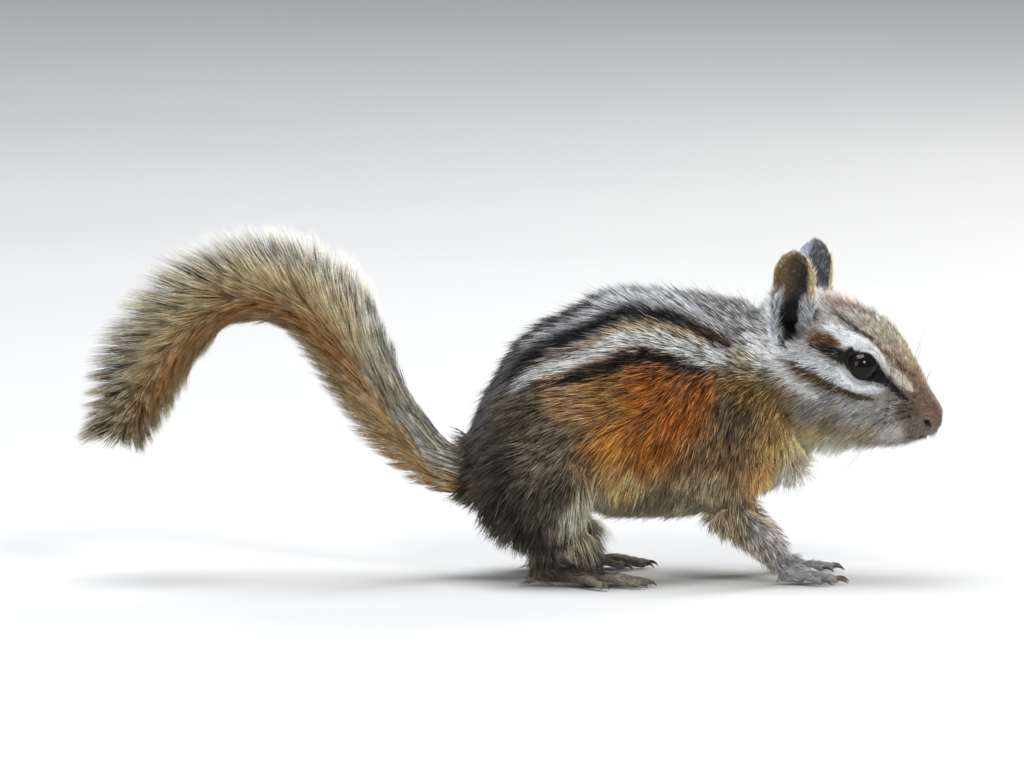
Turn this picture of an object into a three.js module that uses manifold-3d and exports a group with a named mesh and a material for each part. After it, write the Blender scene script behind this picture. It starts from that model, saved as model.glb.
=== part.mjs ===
// A western chipmunk, life size, crouched on all four feet with its bushy tail arched up and back.
// Millimetres. +X is the way it faces, +Y is its left, +Z is up, and its soles stand on z = 0.
// The solids reach out to the tips of the coat. Each one is a piece of the body that has its own name.
import * as THREE from "three";
import { mergeVertices } from "three/addons/utils/BufferGeometryUtils.js";
import Module from "manifold-3d";

const wasm = await Module();
wasm.setup();

const gap = 0.3; // left between neighbouring pieces

// The trunk, from the root of the tail to inside the head. side, over and under are the section's reaches.
const trunk = {
  stations: [
    { x: -31, z: 22, side: 6, over: 5.6, under: 8 },
    { x: -24.6, z: 26.6, side: 11.8, over: 8.6, under: 13.6 },
    { x: -17.2, z: 31.2, side: 16, over: 16.2, under: 19.5 },
    { x: -8.2, z: 34.6, side: 18.6, over: 21.7, under: 22.8 },
    { x: 2, z: 35.4, side: 19.6, over: 24.2, under: 24 },
    { x: 12.3, z: 34.8, side: 18.8, over: 24.4, under: 23 },
    { x: 20.5, z: 34.8, side: 16.8, over: 23.9, under: 21.5 },
    { x: 28, z: 35.8, side: 14.3, over: 22.8, under: 18 },
    { x: 37, z: 38, side: 12, over: 20.5, under: 15.5 },
  ],
  rings: 21,
  sectors: 24,
  blunt: [4, 6],
};

// Where thin cuts part the trunk: a point on the midline, and the cut's lean from upright in degrees.
const cuts = {
  rump: { x: -11, z: 33, lean: 14 },
  chest: { x: 10, z: 35, lean: 0 },
  neck: { x: 25.5, z: 36, lean: -10 },
  head: { x: 33, z: 40, lean: -22 },
};

// The head has a frame of its own: x runs forward from the back of the skull to the nose, z is up.
const head = {
  at: [31.2, 0, 49.6],
  pitch: 24.4,
  yaw: -11,
  stations: [
    { x: -6, z: -2, side: 7.5, over: 11, under: 8 },
    { x: 1, z: -1.9, side: 11.2, over: 13.6, under: 12.6 },
    { x: 8, z: -1.8, side: 12.6, over: 15, under: 14.6 },
    { x: 14, z: -1.8, side: 12, over: 15.9, under: 15 },
    { x: 20, z: -1.8, side: 10.3, over: 15.6, under: 14.2 },
    { x: 26, z: -1.9, side: 8.1, over: 12.6, under: 11.6 },
    { x: 32, z: -1.9, side: 5.6, over: 8.3, under: 8 },
    { x: 36.6, z: -1.6, side: 3.6, over: 4.7, under: 4.6 },
    { x: 39.8, z: -1.3, side: 2.5, over: 2.7, under: 2.7 },
  ],
  rings: 24,
  sectors: 28,
  blunt: [5, 2.2],
};
const eye = {
  at: [20.2, 7.2, 3.7],
  radius: 3.5,
  lid: 0.4, // how far the lids stand proud of the eyeball
  long: 6.9,
  high: 5.6,
  turnForward: 14,
  lookUp: 9,
  slant: -9, // the front corner lies lower
};
const ear = {
  at: [5.2, 8.9, 2],
  leanBack: 21, // of the ear's height, in the head's frame
  leanOut: 12,
  faceForward: 16,
  wall: 0.85,
  cup: { out: 1.1, down: 0.9, floor: 2.2, mouth: 2.4, taper: 0.15 }, // its hollow, set against the outer form
  stations: [
    { z: -2.5, side: 2.6, over: 2.4, under: 2.4 },
    { z: 2, side: 3.8, over: 3, under: 3 },
    { z: 7.5, side: 4.6, over: 2.7, under: 2.9 },
    { z: 13, side: 4.6, over: 2.1, under: 2.5 },
    { z: 17.5, side: 3.9, over: 1.6, under: 2 },
    { z: 20.3, side: 3, over: 1, under: 1.4 },
  ],
};
const mouth = {
  line: [
    [38.9, -4],
    [37, -4.9],
    [34.6, -6.2],
    [32, -7.8],
    [29.6, -9.2],
  ],
  deep: 1,
  open: 0.3,
  narrows: 0.35, // by this share at the corner
};
const nostril = { x: 37.6, z: -2.9, radii: [1, 0.75, 0.7], sunk: 0.2 };

// The hind leg and the fore leg of the right side, with the fold of a crouch.
const thigh = {
  stations: [
    { x: -23.5, y: -10.5, z: 30, side: 4.5, over: 8, under: 8 },
    { x: -19.2, y: -13.6, z: 23, side: 6.6, over: 13, under: 12 },
    { x: -14.2, y: -14.8, z: 17, side: 6.6, over: 13, under: 12 },
    { x: -7.5, y: -15, z: 12, side: 5.4, over: 8, under: 7 },
  ],
  blunt: [5, 6],
};
const shank = {
  stations: [
    { x: -4.8, y: -15, z: 10.5, side: 4.4, over: 5, under: 4.8 },
    { x: -12, y: -15, z: 7.6, side: 4.6, over: 4.8, under: 4.8 },
    { x: -19.5, y: -14.6, z: 4.8, side: 3.2, over: 3.4, under: 3.6 },
  ],
  blunt: [4, 3],
};
const upperArm = {
  stations: [
    { x: 23, y: -9.6, z: 35, side: 3.8, over: 8, under: 8 },
    { x: 21.6, y: -11.6, z: 24.5, side: 4.7, over: 8.8, under: 9 },
    { x: 19.6, y: -12.4, z: 15.2, side: 4.4, over: 5.8, under: 6.4 },
  ],
  blunt: [8, 4.5],
};
const forearm = {
  stations: [
    { x: 19.4, y: -12.8, z: 17.4, side: 4.1, over: 5, under: 5.2 },
    { x: 26.6, y: -11.9, z: 10.8, side: 3.6, over: 4.1, under: 4.2 },
    { x: 31.4, y: -11.1, z: 6.4, side: 2.8, over: 3, under: 3.2 },
    { x: 34.2, y: -10.8, z: 3.2, side: 2.5, over: 2.6, under: 2.6 },
  ],
  blunt: [4, 1.5],
};

// How much further forward the left legs stand than the right ones.
const leftStep = { hind: 0.5, fore: -0.5 };

// Paws: the sole runs from heel to ball, where the toes fan out, five on the hind foot and four in front.
const hindFoot = {
  heel: [-20.5, -14.4],
  turnOut: 7,
  sole: [
    { x: 0, z: 2.2, side: 2.3, over: 2.6, under: 3 },
    { x: 7, z: 2.1, side: 2.7, over: 2.8, under: 3 },
    { x: 13.5, z: 1.8, side: 3.6, over: 2.4, under: 2.8 },
    { x: 18.6, z: 1.5, side: 3.5, over: 1.2, under: 2.2 },
  ],
  blunt: [2.2, 3.4],
  toes: [
    { from: [13, 3], length: 8.2, splay: 16 },
    { from: [15.6, 1.9], length: 10, splay: 5 },
    { from: [16.2, 0.1], length: 10.6, splay: -2 },
    { from: [15.6, -1.8], length: 9.8, splay: -10 },
    { from: [12, -2.8], length: 8, splay: -38 },
  ],
};
const foreFoot = {
  heel: [31.8, -10.9],
  turnOut: 4,
  sole: [
    { x: 0, z: 2.4, side: 2.5, over: 2.9, under: 3 },
    { x: 3.4, z: 2, side: 2.7, over: 2.3, under: 2.8 },
    { x: 6.4, z: 1.6, side: 3, over: 1.7, under: 2.4 },
  ],
  blunt: [2, 1.8],
  toes: [
    { from: [4.6, 2.2], length: 6.4, splay: 22 },
    { from: [5.6, 0.9], length: 7.4, splay: 8 },
    { from: [5.6, -0.8], length: 7.4, splay: -6 },
    { from: [4.4, -2.1], length: 6.2, splay: -24 },
  ],
};
// A toe leaves the ball of the foot inside it, arches over its knuckle and comes down to the floor.
const toe = {
  rootBack: 1.5,
  rootHigh: 1.7,
  thick: 1.15,
  tipThick: 0.95,
  knuckle: { along: 0.45, rise: 0.6 },
  sectors: 6,
  rings: 4,
};
const claw = {
  back: 1, // how far its root lies inside the toe
  out: 1.6, // how far its tip stands out of it
  thick: 0.46,
  middleThick: 0.38,
  tipThick: 0.14,
  tipHigh: 0.4,
};

// The tail's midline from the rump, and the reach of its hair and of the core that the locks grow from.
const tail = {
  midline: [
    [-27.5, 20.2],
    [-36.2, 23.4],
    [-42.6, 30],
    [-48, 38],
    [-53.4, 46.8],
    [-59, 54],
    [-65.8, 58.8],
    [-73.4, 60.6],
    [-81, 59.4],
    [-88.2, 54.8],
    [-94.2, 47.6],
    [-98.9, 39.4],
    [-102.2, 31.6],
    [-104.4, 24],
  ],
  reach: [6.2, 6.8, 7.2, 8, 9, 10, 10.6, 11, 11, 10.9, 10.8, 10.2, 8.8, 6.4],
  broad: 0.74, // the hair is parted to both edges, so the tail is flatter sideways
  lengths: 4,
  core: { share: 0.45, sectors: 8, rings: 5, end: 105, blunt: 9 }, // share of the reach, and where it ends
  root: { share: 0.97, fade: 12 }, // at the rump the core is as thick as the coat
};

// The locks of the tail's long hair, set in rings. Each leaves the core and bends back along the tail.
const lock = {
  first: 9, // the first ring's distance from the root of the tail
  spacing: 6.6,
  perReach: 0.68, // locks in a ring for each millimetre of reach
  clearAfter: 2, // no ring is rooted this close after the start of a length, or this close before its end
  clearBefore: 4.5,
  deep: 1.5, // how far its root lies inside the core
  long: 15,
  longVaries: 0.14,
  turnVaries: 0.1, // radians
  tipVaries: 0.05, // share of the reach
  lift: 1.4, // how early it rises to its full reach
  stations: [
    { along: 0, wide: 2.6, thick: 1.1 },
    { along: 0.38, wide: 5.2, thick: 1.2 },
    { along: 0.74, wide: 3.9, thick: 0.8 },
  ],
};

const furBrown = new THREE.Color(0x8a7660);
const finishes = {
  fur: { color: furBrown, roughness: 0.9, metalness: 0 },
  rust: { color: new THREE.Color(0xa8703c), roughness: 0.9, metalness: 0 },
  pale: { color: new THREE.Color(0xb7ab98), roughness: 0.85, metalness: 0 },
  eye: { color: new THREE.Color(0x0b0908), roughness: 0.08, metalness: 0 },
};

const degrees = THREE.MathUtils.degToRad;
const vector = ([x, y, z]) => new THREE.Vector3(x, y, z);

// How much of its full size a rounded end has at a distance from the tip.
function rounded(distance, length) {
  if (distance >= length) return 1;
  return Math.sqrt(Math.max(0, 1 - (1 - distance / length) ** 2));
}

// One closed body swept through stations, or through the span of them that is given as shares of their path.
// grow swells it evenly, for the seat that it needs in a neighbour.
function sweep(shape) {
  const { stations, rings, sectors, blunt = [0, 0], power = 2, grow = 0, dorsal = 1, swells = [] } = shape;
  const [from, to] = shape.span ?? [0, 1];
  const path = new THREE.CatmullRomCurve3(stations.map(({ x = 0, y = 0, z }) => new THREE.Vector3(x, y, z)));
  const reaches = new THREE.CatmullRomCurve3(
    stations.map(({ side, over, under }) => new THREE.Vector3(side, over, under)),
  );
  const length = path.getLength() * (to - from);
  const positions = [];
  const index = [];
  const bend = (value) => Math.sign(value) * Math.abs(value) ** (2 / power);
  const first = blunt[0] > 0 ? 1 : 0;
  const last = blunt[1] > 0 ? rings - 1 : rings;
  const pole = (u, way) => {
    const at = path.getPointAt(u).addScaledVector(path.getTangentAt(u), way * grow);
    positions.push(at.x, at.y, at.z);
  };
  pole(from, -1);
  for (let j = first; j <= last; j++) {
    const even = j / rings;
    const share = (even + (1 - Math.cos(Math.PI * even)) / 2) / 2;
    const u = from + (to - from) * share;
    const tangent = path.getTangentAt(u);
    const side = new THREE.Vector3(0, 1, 0).addScaledVector(tangent, -tangent.y).normalize();
    const over = tangent.clone().cross(side).multiplyScalar(dorsal);
    const centre = path.getPointAt(u).addScaledVector(tangent, grow * (2 * share - 1));
    const reach = reaches.getPoint(path.getUtoTmapping(u));
    const size = rounded(share * length, blunt[0]) * rounded((1 - share) * length, blunt[1]);
    for (let k = 0; k < sectors; k++) {
      const turn = (2 * Math.PI * k) / sectors;
      const across = (reach.x * size + grow) * bend(Math.cos(turn));
      const height = (Math.sin(turn) > 0 ? reach.y : reach.z) * size + grow;
      const out = side.clone().multiplyScalar(across).addScaledVector(over, height * bend(Math.sin(turn)));
      const point = centre.clone().add(out);
      for (const swell of swells) {
        const far = point.distanceTo(vector(swell.at)) / swell.wide;
        point.addScaledVector(out.clone().normalize(), swell.out * Math.exp(-far * far));
      }
      positions.push(point.x, point.y, point.z);
    }
  }
  pole(to, 1);
  const end = positions.length / 3 - 1;
  const face = (a, b, c) => (dorsal > 0 ? index.push(a, b, c) : index.push(a, c, b));
  const at = (j, k) => 1 + (j - first) * sectors + (k % sectors);
  for (let k = 0; k < sectors; k++) {
    face(0, at(first, k + 1), at(first, k));
    face(end, at(last, k), at(last, k + 1));
    for (let j = first; j < last; j++) {
      face(at(j, k), at(j, k + 1), at(j + 1, k + 1));
      face(at(j, k), at(j + 1, k + 1), at(j + 1, k));
    }
  }
  const geometry = new THREE.BufferGeometry();
  geometry.setAttribute("position", new THREE.Float32BufferAttribute(positions, 3));
  return geometry.setIndex(index);
}

// The same shape on the other side of the midline, with its faces still pointing out.
function mirrored(geometry) {
  const other = geometry.clone().scale(1, -1, 1);
  const turns = other.index.array;
  for (let i = 0; i < turns.length; i += 3) [turns[i + 1], turns[i + 2]] = [turns[i + 2], turns[i + 1]];
  return other;
}

// A closed geometry as a solid that can be joined and cut.
function solid(geometry) {
  const bare = geometry.clone();
  bare.deleteAttribute("normal");
  bare.deleteAttribute("uv");
  const merged = mergeVertices(bare, 1e-4);
  const triVerts = new Uint32Array(merged.index.array);
  return new wasm.Manifold(
    new wasm.Mesh({ numProp: 3, vertProperties: merged.attributes.position.array, triVerts }),
  );
}

const joined = (solids) => solids.reduce((all, one) => all.add(one));
const cutBy = (body, tools) => tools.reduce((rest, tool) => rest.subtract(tool), body);

// The largest closed surface of a solid, so that no loose scrap or sealed hollow is kept.
function largest(body) {
  const pieces = body.decompose();
  return pieces.reduce((best, piece) => (piece.volume() > best.volume() ? piece : best));
}

// A solid's surface as a geometry.
function geometryOf(body) {
  const { vertProperties, triVerts } = body.getMesh();
  const geometry = new THREE.BufferGeometry();
  geometry.setAttribute("position", new THREE.BufferAttribute(new Float32Array(vertProperties), 3));
  return geometry.setIndex(new THREE.BufferAttribute(new Uint32Array(triVerts), 1));
}

// A solid as a mesh of the scene.
function piece(name, body, finish) {
  const geometry = geometryOf(largest(body));
  geometry.computeVertexNormals();
  const mesh = new THREE.Mesh(geometry, new THREE.MeshStandardMaterial(finish));
  mesh.name = name;
  return mesh;
}

// A wide slab, square to the midline and leaning by the cut's angle. Its back face is the cut.
const slabSize = 200;
function slab({ x, z, lean }, thick) {
  return new THREE.BoxGeometry(thick, slabSize, slabSize)
    .translate(thick / 2, 0, 0)
    .rotateY(degrees(lean))
    .translate(x, 0, z);
}

// The part of a body that lies between two cuts. Either cut may be left out.
function between(body, from, to) {
  let kept = body;
  if (from) kept = kept.intersect(solid(slab(from, slabSize)));
  if (to) kept = kept.subtract(solid(slab({ ...to, x: to.x - gap }, slabSize)));
  return kept;
}

const floor = new THREE.BoxGeometry(400, 400, 40).translate(0, 0, -20);
const onFloor = (body) => body.subtract(solid(floor));

// The head's own frame in the body's.
const headFrame = new THREE.Matrix4()
  .makeTranslation(...head.at)
  .multiply(new THREE.Matrix4().makeRotationZ(degrees(head.yaw)))
  .multiply(new THREE.Matrix4().makeRotationY(degrees(head.pitch)));

// Soft rises and hollows of the face, in the head's frame, on both sides of the midline.
function faceSwells() {
  const rises = [
    { at: [11, 12, -8], wide: 6, out: 1.1 }, // cheek
    { at: [32.5, 3.6, -5.2], wide: 3, out: 0.6 }, // whisker pad
    { at: [15, 11, 4], wide: 3.5, out: -0.6 }, // hollow behind the eye
    { at: [19, 9.5, 7], wide: 5, out: 0.7 }, // brow
    { at: [20, 10, 0.5], wide: 3, out: 0.5 }, // lower rim of the eye socket
    { at: [26.5, 7.2, 0.6], wide: 4, out: -0.9 }, // hollow in front of the eye
    { at: [20, 9.5, -5], wide: 3, out: -0.4 }, // hollow under the eye
  ];
  return rises.flatMap(({ at: [x, y, z], wide, out }) => [
    { at: [x, y, z], wide, out },
    { at: [x, -y, z], wide, out },
  ]);
}

// An upright shape turned so that its own z looks out of one side of the head. side is +1 for the left.
function eyeFrame(side) {
  return new THREE.Matrix4()
    .makeTranslation(eye.at[0], side * eye.at[1], eye.at[2])
    .multiply(new THREE.Matrix4().makeRotationZ(degrees(side * -eye.turnForward)))
    .multiply(new THREE.Matrix4().makeRotationX(degrees(side * (eye.lookUp - 90))));
}

function ball(radius) {
  return new THREE.SphereGeometry(radius, 14, 9).rotateX(Math.PI / 2);
}

// The almond between the lids, as a prism from the eye's centre outwards. The left eye's y runs down.
function lidOpening(side) {
  const shape = new THREE.Shape();
  const { rear, front, top, bottom } = { rear: -eye.long / 2, front: eye.long / 2, top: 0.56, bottom: -0.5 };
  const at = (x, y) => [x, -side * y * eye.high];
  shape.moveTo(rear, 0);
  shape.quadraticCurveTo(...at(rear * 0.84, top * 1.1), ...at(0, top));
  shape.quadraticCurveTo(...at(front * 0.8, top * 0.8), front, 0);
  shape.quadraticCurveTo(...at(front * 0.72, bottom), ...at(0, bottom));
  shape.quadraticCurveTo(...at(rear * 0.84, bottom * 0.92), rear, 0);
  return new THREE.ExtrudeGeometry(shape, { depth: eye.radius * 2, bevelEnabled: false, curveSegments: 4 })
    .rotateZ(degrees(-side * eye.slant))
    .applyMatrix4(eyeFrame(side));
}

// The ear's frame in the head's: its z runs up the ear, its x forwards and its y out of the cup.
function earFrame(side) {
  return new THREE.Matrix4()
    .makeTranslation(ear.at[0], side * ear.at[1], ear.at[2])
    .multiply(new THREE.Matrix4().makeRotationY(degrees(-ear.leanBack)))
    .multiply(new THREE.Matrix4().makeRotationX(degrees(-side * ear.leanOut)))
    .multiply(new THREE.Matrix4().makeRotationZ(degrees(-side * ear.faceForward)));
}

// The ear's outer form. Its sections lie flat, and their side reach is towards the front.
function earForm(side, grow = 0) {
  const form = sweepUp({ stations: ear.stations, rings: 9, sectors: 14, blunt: [2, 5], grow });
  return side > 0 ? form : mirrored(form);
}

// The hollow of the cup, which opens outwards.
function earHollow(side) {
  const { out, down, floor: low, mouth: open, taper } = ear.cup;
  const inner = ear.stations.slice(1).map(({ z, side: wide, over, under }, i) => ({
    y: ear.wall + out,
    z: z - (i === 0 ? low : down),
    side: wide - ear.wall,
    over: over + open,
    under: under + out - taper * i,
  }));
  const form = sweepUp({ stations: inner, rings: 8, sectors: 12, blunt: [2, 5] });
  return side > 0 ? form : mirrored(form);
}

// A sweep that runs up z. Its side reach is along x and over is along +y.
function sweepUp(shape) {
  const turned = shape.stations.map(({ y = 0, ...rest }) => ({ ...rest, x: y, y: 0 }));
  return sweep({ ...shape, stations: turned, dorsal: -1 }).rotateZ(Math.PI / 2);
}

// How far the head reaches sideways at a place of its side view.
function faceWidth(x, z) {
  const next = head.stations.findIndex((station) => station.x >= x);
  const [a, b] = [head.stations[next - 1], head.stations[next]];
  const share = (x - a.x) / (b.x - a.x);
  const mix = (name) => a[name] + (b[name] - a[name]) * share;
  const height = z - mix("z");
  const level = Math.abs(height) / (height > 0 ? mix("over") : mix("under"));
  return mix("side") * Math.sqrt(Math.max(0, 1 - level * level));
}

// A thin cutter along the lips of one side, from the midline to the corner of the mouth.
function lipCutter(side) {
  const stations = mouth.line.map(([x, z], i) => {
    const size = 1 - (mouth.narrows * i) / (mouth.line.length - 1);
    const y = i > 0 ? faceWidth(x, z) : 0;
    return { x, y: side * y, z, side: mouth.deep * size, over: mouth.open * size, under: mouth.open * size };
  });
  return sweep({ stations, rings: 6, sectors: 4 });
}

// The head with lids and lips, seats for the eyes and ears, and nostrils, in its own frame.
function buildHead() {
  let body = solid(sweep({ ...head, power: 2.1, swells: faceSwells() }));
  for (const side of [1, -1]) {
    body = body.add(solid(ball(eye.radius + gap + eye.lid).applyMatrix4(eyeFrame(side))));
  }
  for (const side of [1, -1]) {
    const pit = new THREE.SphereGeometry(1, 8, 6)
      .scale(...nostril.radii)
      .translate(nostril.x, side * (faceWidth(nostril.x, nostril.z) - nostril.sunk), nostril.z);
    body = cutBy(body, [
      solid(ball(eye.radius + gap).applyMatrix4(eyeFrame(side))),
      solid(lidOpening(side)),
      solid(lipCutter(side)),
      solid(pit),
    ]);
  }
  return geometryOf(body).applyMatrix4(headFrame);
}

// One toe with its claw, from its root on the ball of the foot.
function digit({ from: [x, y], length, splay }, size) {
  const way = [Math.cos(degrees(splay)), Math.sin(degrees(splay))];
  const round = (distance, z, thick) => ({
    x: x + way[0] * distance,
    y: y + way[1] * distance,
    z,
    side: thick,
    over: thick,
    under: thick,
  });
  const thick = toe.thick * size;
  const tip = toe.tipThick * size;
  const flesh = sweep({
    stations: [
      round(-toe.rootBack, toe.rootHigh, thick),
      round(length * toe.knuckle.along, thick + toe.knuckle.rise, thick),
      round(length - tip, tip, tip),
      round(length, tip, tip),
    ],
    rings: toe.rings,
    sectors: toe.sectors,
    blunt: [0, 1],
  });
  const nail = sweep({
    stations: [
      round(length - claw.back, tip, claw.thick),
      round(length + claw.out / 2, tip, claw.middleThick),
      round(length + claw.out, claw.tipHigh, claw.tipThick),
    ],
    rings: 2,
    sectors: 4,
  });
  return [flesh, nail];
}

// The paw of the right side without its toes, in its own frame, x forward from the heel.
function palm({ sole, blunt }, grow = 0) {
  return sweep({ stations: sole, rings: 7, sectors: 10, blunt, grow });
}

// The whole paw.
function paw(foot, size) {
  const toes = foot.toes.flatMap((each) => digit(each, size));
  return geometryOf(joined([palm(foot), ...toes].map(solid)));
}

// A geometry of the right side, or its mirror image on the left, moved along by the step of that leg.
function sided(geometry, side, step) {
  const own = side > 0 ? mirrored(geometry) : geometry.clone();
  return solid(own.translate(step, 0, 0));
}

// One leg: its upper and lower length and its paw. The seats are the room that they need in their neighbours.
function leg(side, step, { upper, lower, foot, footSize, names }) {
  const upperShape = { ...upper, rings: 9, sectors: 14 };
  const lowerShape = { ...lower, rings: 7, sectors: 10 };
  const placed = (geometry) => geometry.rotateZ(degrees(-foot.turnOut)).translate(...foot.heel, 0);
  const upperSolid = sided(sweep(upperShape), side, step);
  const lowerSolid = sided(sweep(lowerShape), side, step);
  const upperSeat = sided(sweep({ ...upperShape, grow: gap }), side, step);
  const lowerSeat = sided(sweep({ ...lowerShape, grow: gap }), side, step);
  const pawSolid = sided(placed(paw(foot, footSize)), side, step);
  const pawSeat = sided(placed(palm(foot, gap)), side, step);
  const solids = [upperSolid, cutBy(lowerSolid, [upperSeat, pawSeat]), pawSolid.subtract(upperSeat)];
  const suffix = side > 0 ? "left" : "right";
  const colours = [finishes.fur, finishes.fur, finishes.pale];
  return {
    seats: [upperSeat, lowerSeat],
    meshes: solids.map((body, i) => piece(`${names[i]}_${suffix}`, onFloor(body), colours[i])),
  };
}

// The tail's midline as a curve. Distances along it are in millimetres from its root.
const tailPath = new THREE.CatmullRomCurve3(tail.midline.map(([x, z]) => new THREE.Vector3(x, 0, z)));
const tailReach = new THREE.CatmullRomCurve3(tail.reach.map((reach, i) => new THREE.Vector3(i, reach, 0)));
const tailLong = tailPath.getLength();
const tailSide = new THREE.Vector3(0, 1, 0);

// A point of the tail: its distance along the midline, its turn around it, and its share of the hair's reach.
// Beyond the midline's end it carries straight on.
function tailPoint(distance, turn, share) {
  const u = Math.min(distance / tailLong, 1);
  const tangent = tailPath.getTangentAt(u);
  const reach = share * tailReach.getPoint(tailPath.getUtoTmapping(u)).y;
  return tailPath
    .getPointAt(u)
    .addScaledVector(tangent, distance - u * tailLong)
    .addScaledVector(tailSide, reach * tail.broad * Math.cos(turn))
    .addScaledVector(tailSide.clone().cross(tangent), reach * Math.sin(turn));
}

// The core's share of the reach. It is thick at the rump.
function coreShare(distance) {
  const { share, fade } = tail.root;
  return tail.core.share + (share - tail.core.share) * Math.exp(-((distance / fade) ** 2));
}

// A stretch of the tail's core with flat ends, or with a blunt last end.
function tailCore([from, to], { blunt = 0, grow = 0 } = {}) {
  const stations = tail.midline.map(([x, z], i) => {
    const size = tail.reach[i] * coreShare((tailLong * i) / (tail.midline.length - 1));
    return { x, z, side: size * tail.broad, over: size, under: size };
  });
  const span = [from / tailLong, to / tailLong];
  const { rings, sectors } = tail.core;
  return sweep({ stations, span, rings, sectors, blunt: [0, blunt], dorsal: -1, grow });
}

// One lock, a flat blade of four-sided section. Its two faces are split alike.
function lockBody(root, turn, long, twist, tipShare) {
  const rootShare = coreShare(root) - lock.deep / Math.max(...tail.reach);
  const centre = (along) => {
    const share = rootShare + (tipShare - rootShare) * (1 - (1 - along) ** lock.lift);
    return tailPoint(root + long * along, turn + twist * along, share);
  };
  const positions = [];
  for (const { along, wide, thick } of lock.stations) {
    const at = centre(along);
    const way = centre(along + 0.01).sub(at).normalize();
    const round = tailPoint(root + long * along, turn + twist * along + 0.01, 1);
    const across = round.sub(tailPoint(root + long * along, turn + twist * along, 1));
    across.addScaledVector(way, -across.dot(way)).normalize();
    const up = way.clone().cross(across);
    for (const [w, h] of [[wide / 2, 0], [0, thick / 2], [-wide / 2, 0], [0, -thick / 2]]) {
      const corner = at.clone().addScaledVector(across, w).addScaledVector(up, h);
      positions.push(corner.x, corner.y, corner.z);
    }
  }
  const tip = centre(1);
  positions.push(tip.x, tip.y, tip.z);
  const index = [0, 3, 1, 1, 3, 2];
  const last = lock.stations.length - 1;
  for (let j = 0; j <= last; j++) {
    const here = 4 * j;
    for (const [edge, flat, turned] of [[0, 1, -1], [0, 3, 1], [2, 1, 1], [2, 3, -1]]) {
      const faces =
        j < last
          ? [[edge, 4 + flat, flat], [edge, 4 + edge, 4 + flat]]
          : [[edge, 4, flat]];
      for (const [a, b, c] of faces) {
        const corners = turned > 0 ? [a, b, c] : [a, c, b];
        index.push(...corners.map((corner) => here + corner));
      }
    }
  }
  const geometry = new THREE.BufferGeometry();
  geometry.setAttribute("position", new THREE.Float32BufferAttribute(positions, 3));
  return solid(geometry.setIndex(index));
}

// A repeatable stream of numbers between -1 and 1.
function randomStream(seed) {
  let state = seed;
  return () => {
    state = (state * 1664525 + 1013904223) % 4294967296;
    return state / 2147483648 - 1;
  };
}

// The rings of locks that are rooted in one stretch of the tail, each ring turned half a step from the last.
function locksOf([first, last], vary) {
  const bodies = [];
  const rows = Math.round((last - first) / lock.spacing);
  for (let row = 0; row <= rows; row++) {
    const root = first + ((last - first) * row) / rows;
    const count = Math.round(tailReach.getPoint(root / tailLong).y * lock.perReach);
    for (let k = 0; k < count; k++) {
      const turn = (2 * Math.PI * (k + (row % 2) / 2)) / count + lock.turnVaries * vary();
      const long = lock.long * (1 + lock.longVaries * vary());
      const tipShare = 1 - lock.tipVaries * (1 + vary());
      bodies.push(lockBody(root, turn, long, lock.turnVaries * vary(), tipShare));
    }
  }
  return bodies;
}

function buildTail() {
  const meshes = [];
  const vary = randomStream(7);
  for (let i = 0; i < tail.lengths; i++) {
    const isLast = i === tail.lengths - 1;
    const from = (tail.core.end * i) / tail.lengths + (i > 0 ? gap / 2 : 0);
    const to = (tail.core.end * (i + 1)) / tail.lengths - (isLast ? 0 : gap / 2);
    const core = solid(tailCore([from, to], { blunt: isLast ? tail.core.blunt : 0 }));
    const rooted = [Math.max(lock.first, from + lock.clearAfter), isLast ? to - 1 : to - lock.clearBefore];
    meshes.push(piece(`tail_${i + 1}`, joined([core, ...locksOf(rooted, vary)]), finishes.rust));
  }
  return meshes;
}

// The five pieces of the head and trunk, cut from one body with room for the legs, the ears and the tail.
function buildTrunk(legSeats) {
  const headSolid = solid(buildHead());
  const tailSeat = solid(tailCore([0, tail.core.end / tail.lengths], { grow: gap }));
  const earSeats = [1, -1].flatMap((side) => [
    solid(earForm(side, gap).applyMatrix4(earFrame(side)).applyMatrix4(headFrame)),
    solid(earHollow(side).applyMatrix4(earFrame(side)).applyMatrix4(headFrame)),
  ]);
  const trunkSolid = cutBy(solid(sweep(trunk)), [...legSeats, tailSeat]);
  const body = cutBy(headSolid.add(trunkSolid), earSeats);
  return [
    piece("head", between(body, cuts.head, null), finishes.fur),
    piece("neck", between(body, cuts.neck, cuts.head), finishes.fur),
    piece("chest", between(body, cuts.chest, cuts.neck), finishes.fur),
    piece("belly", between(body, cuts.rump, cuts.chest), finishes.fur),
    piece("rump", between(body, null, cuts.rump), finishes.fur),
  ];
}

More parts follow.
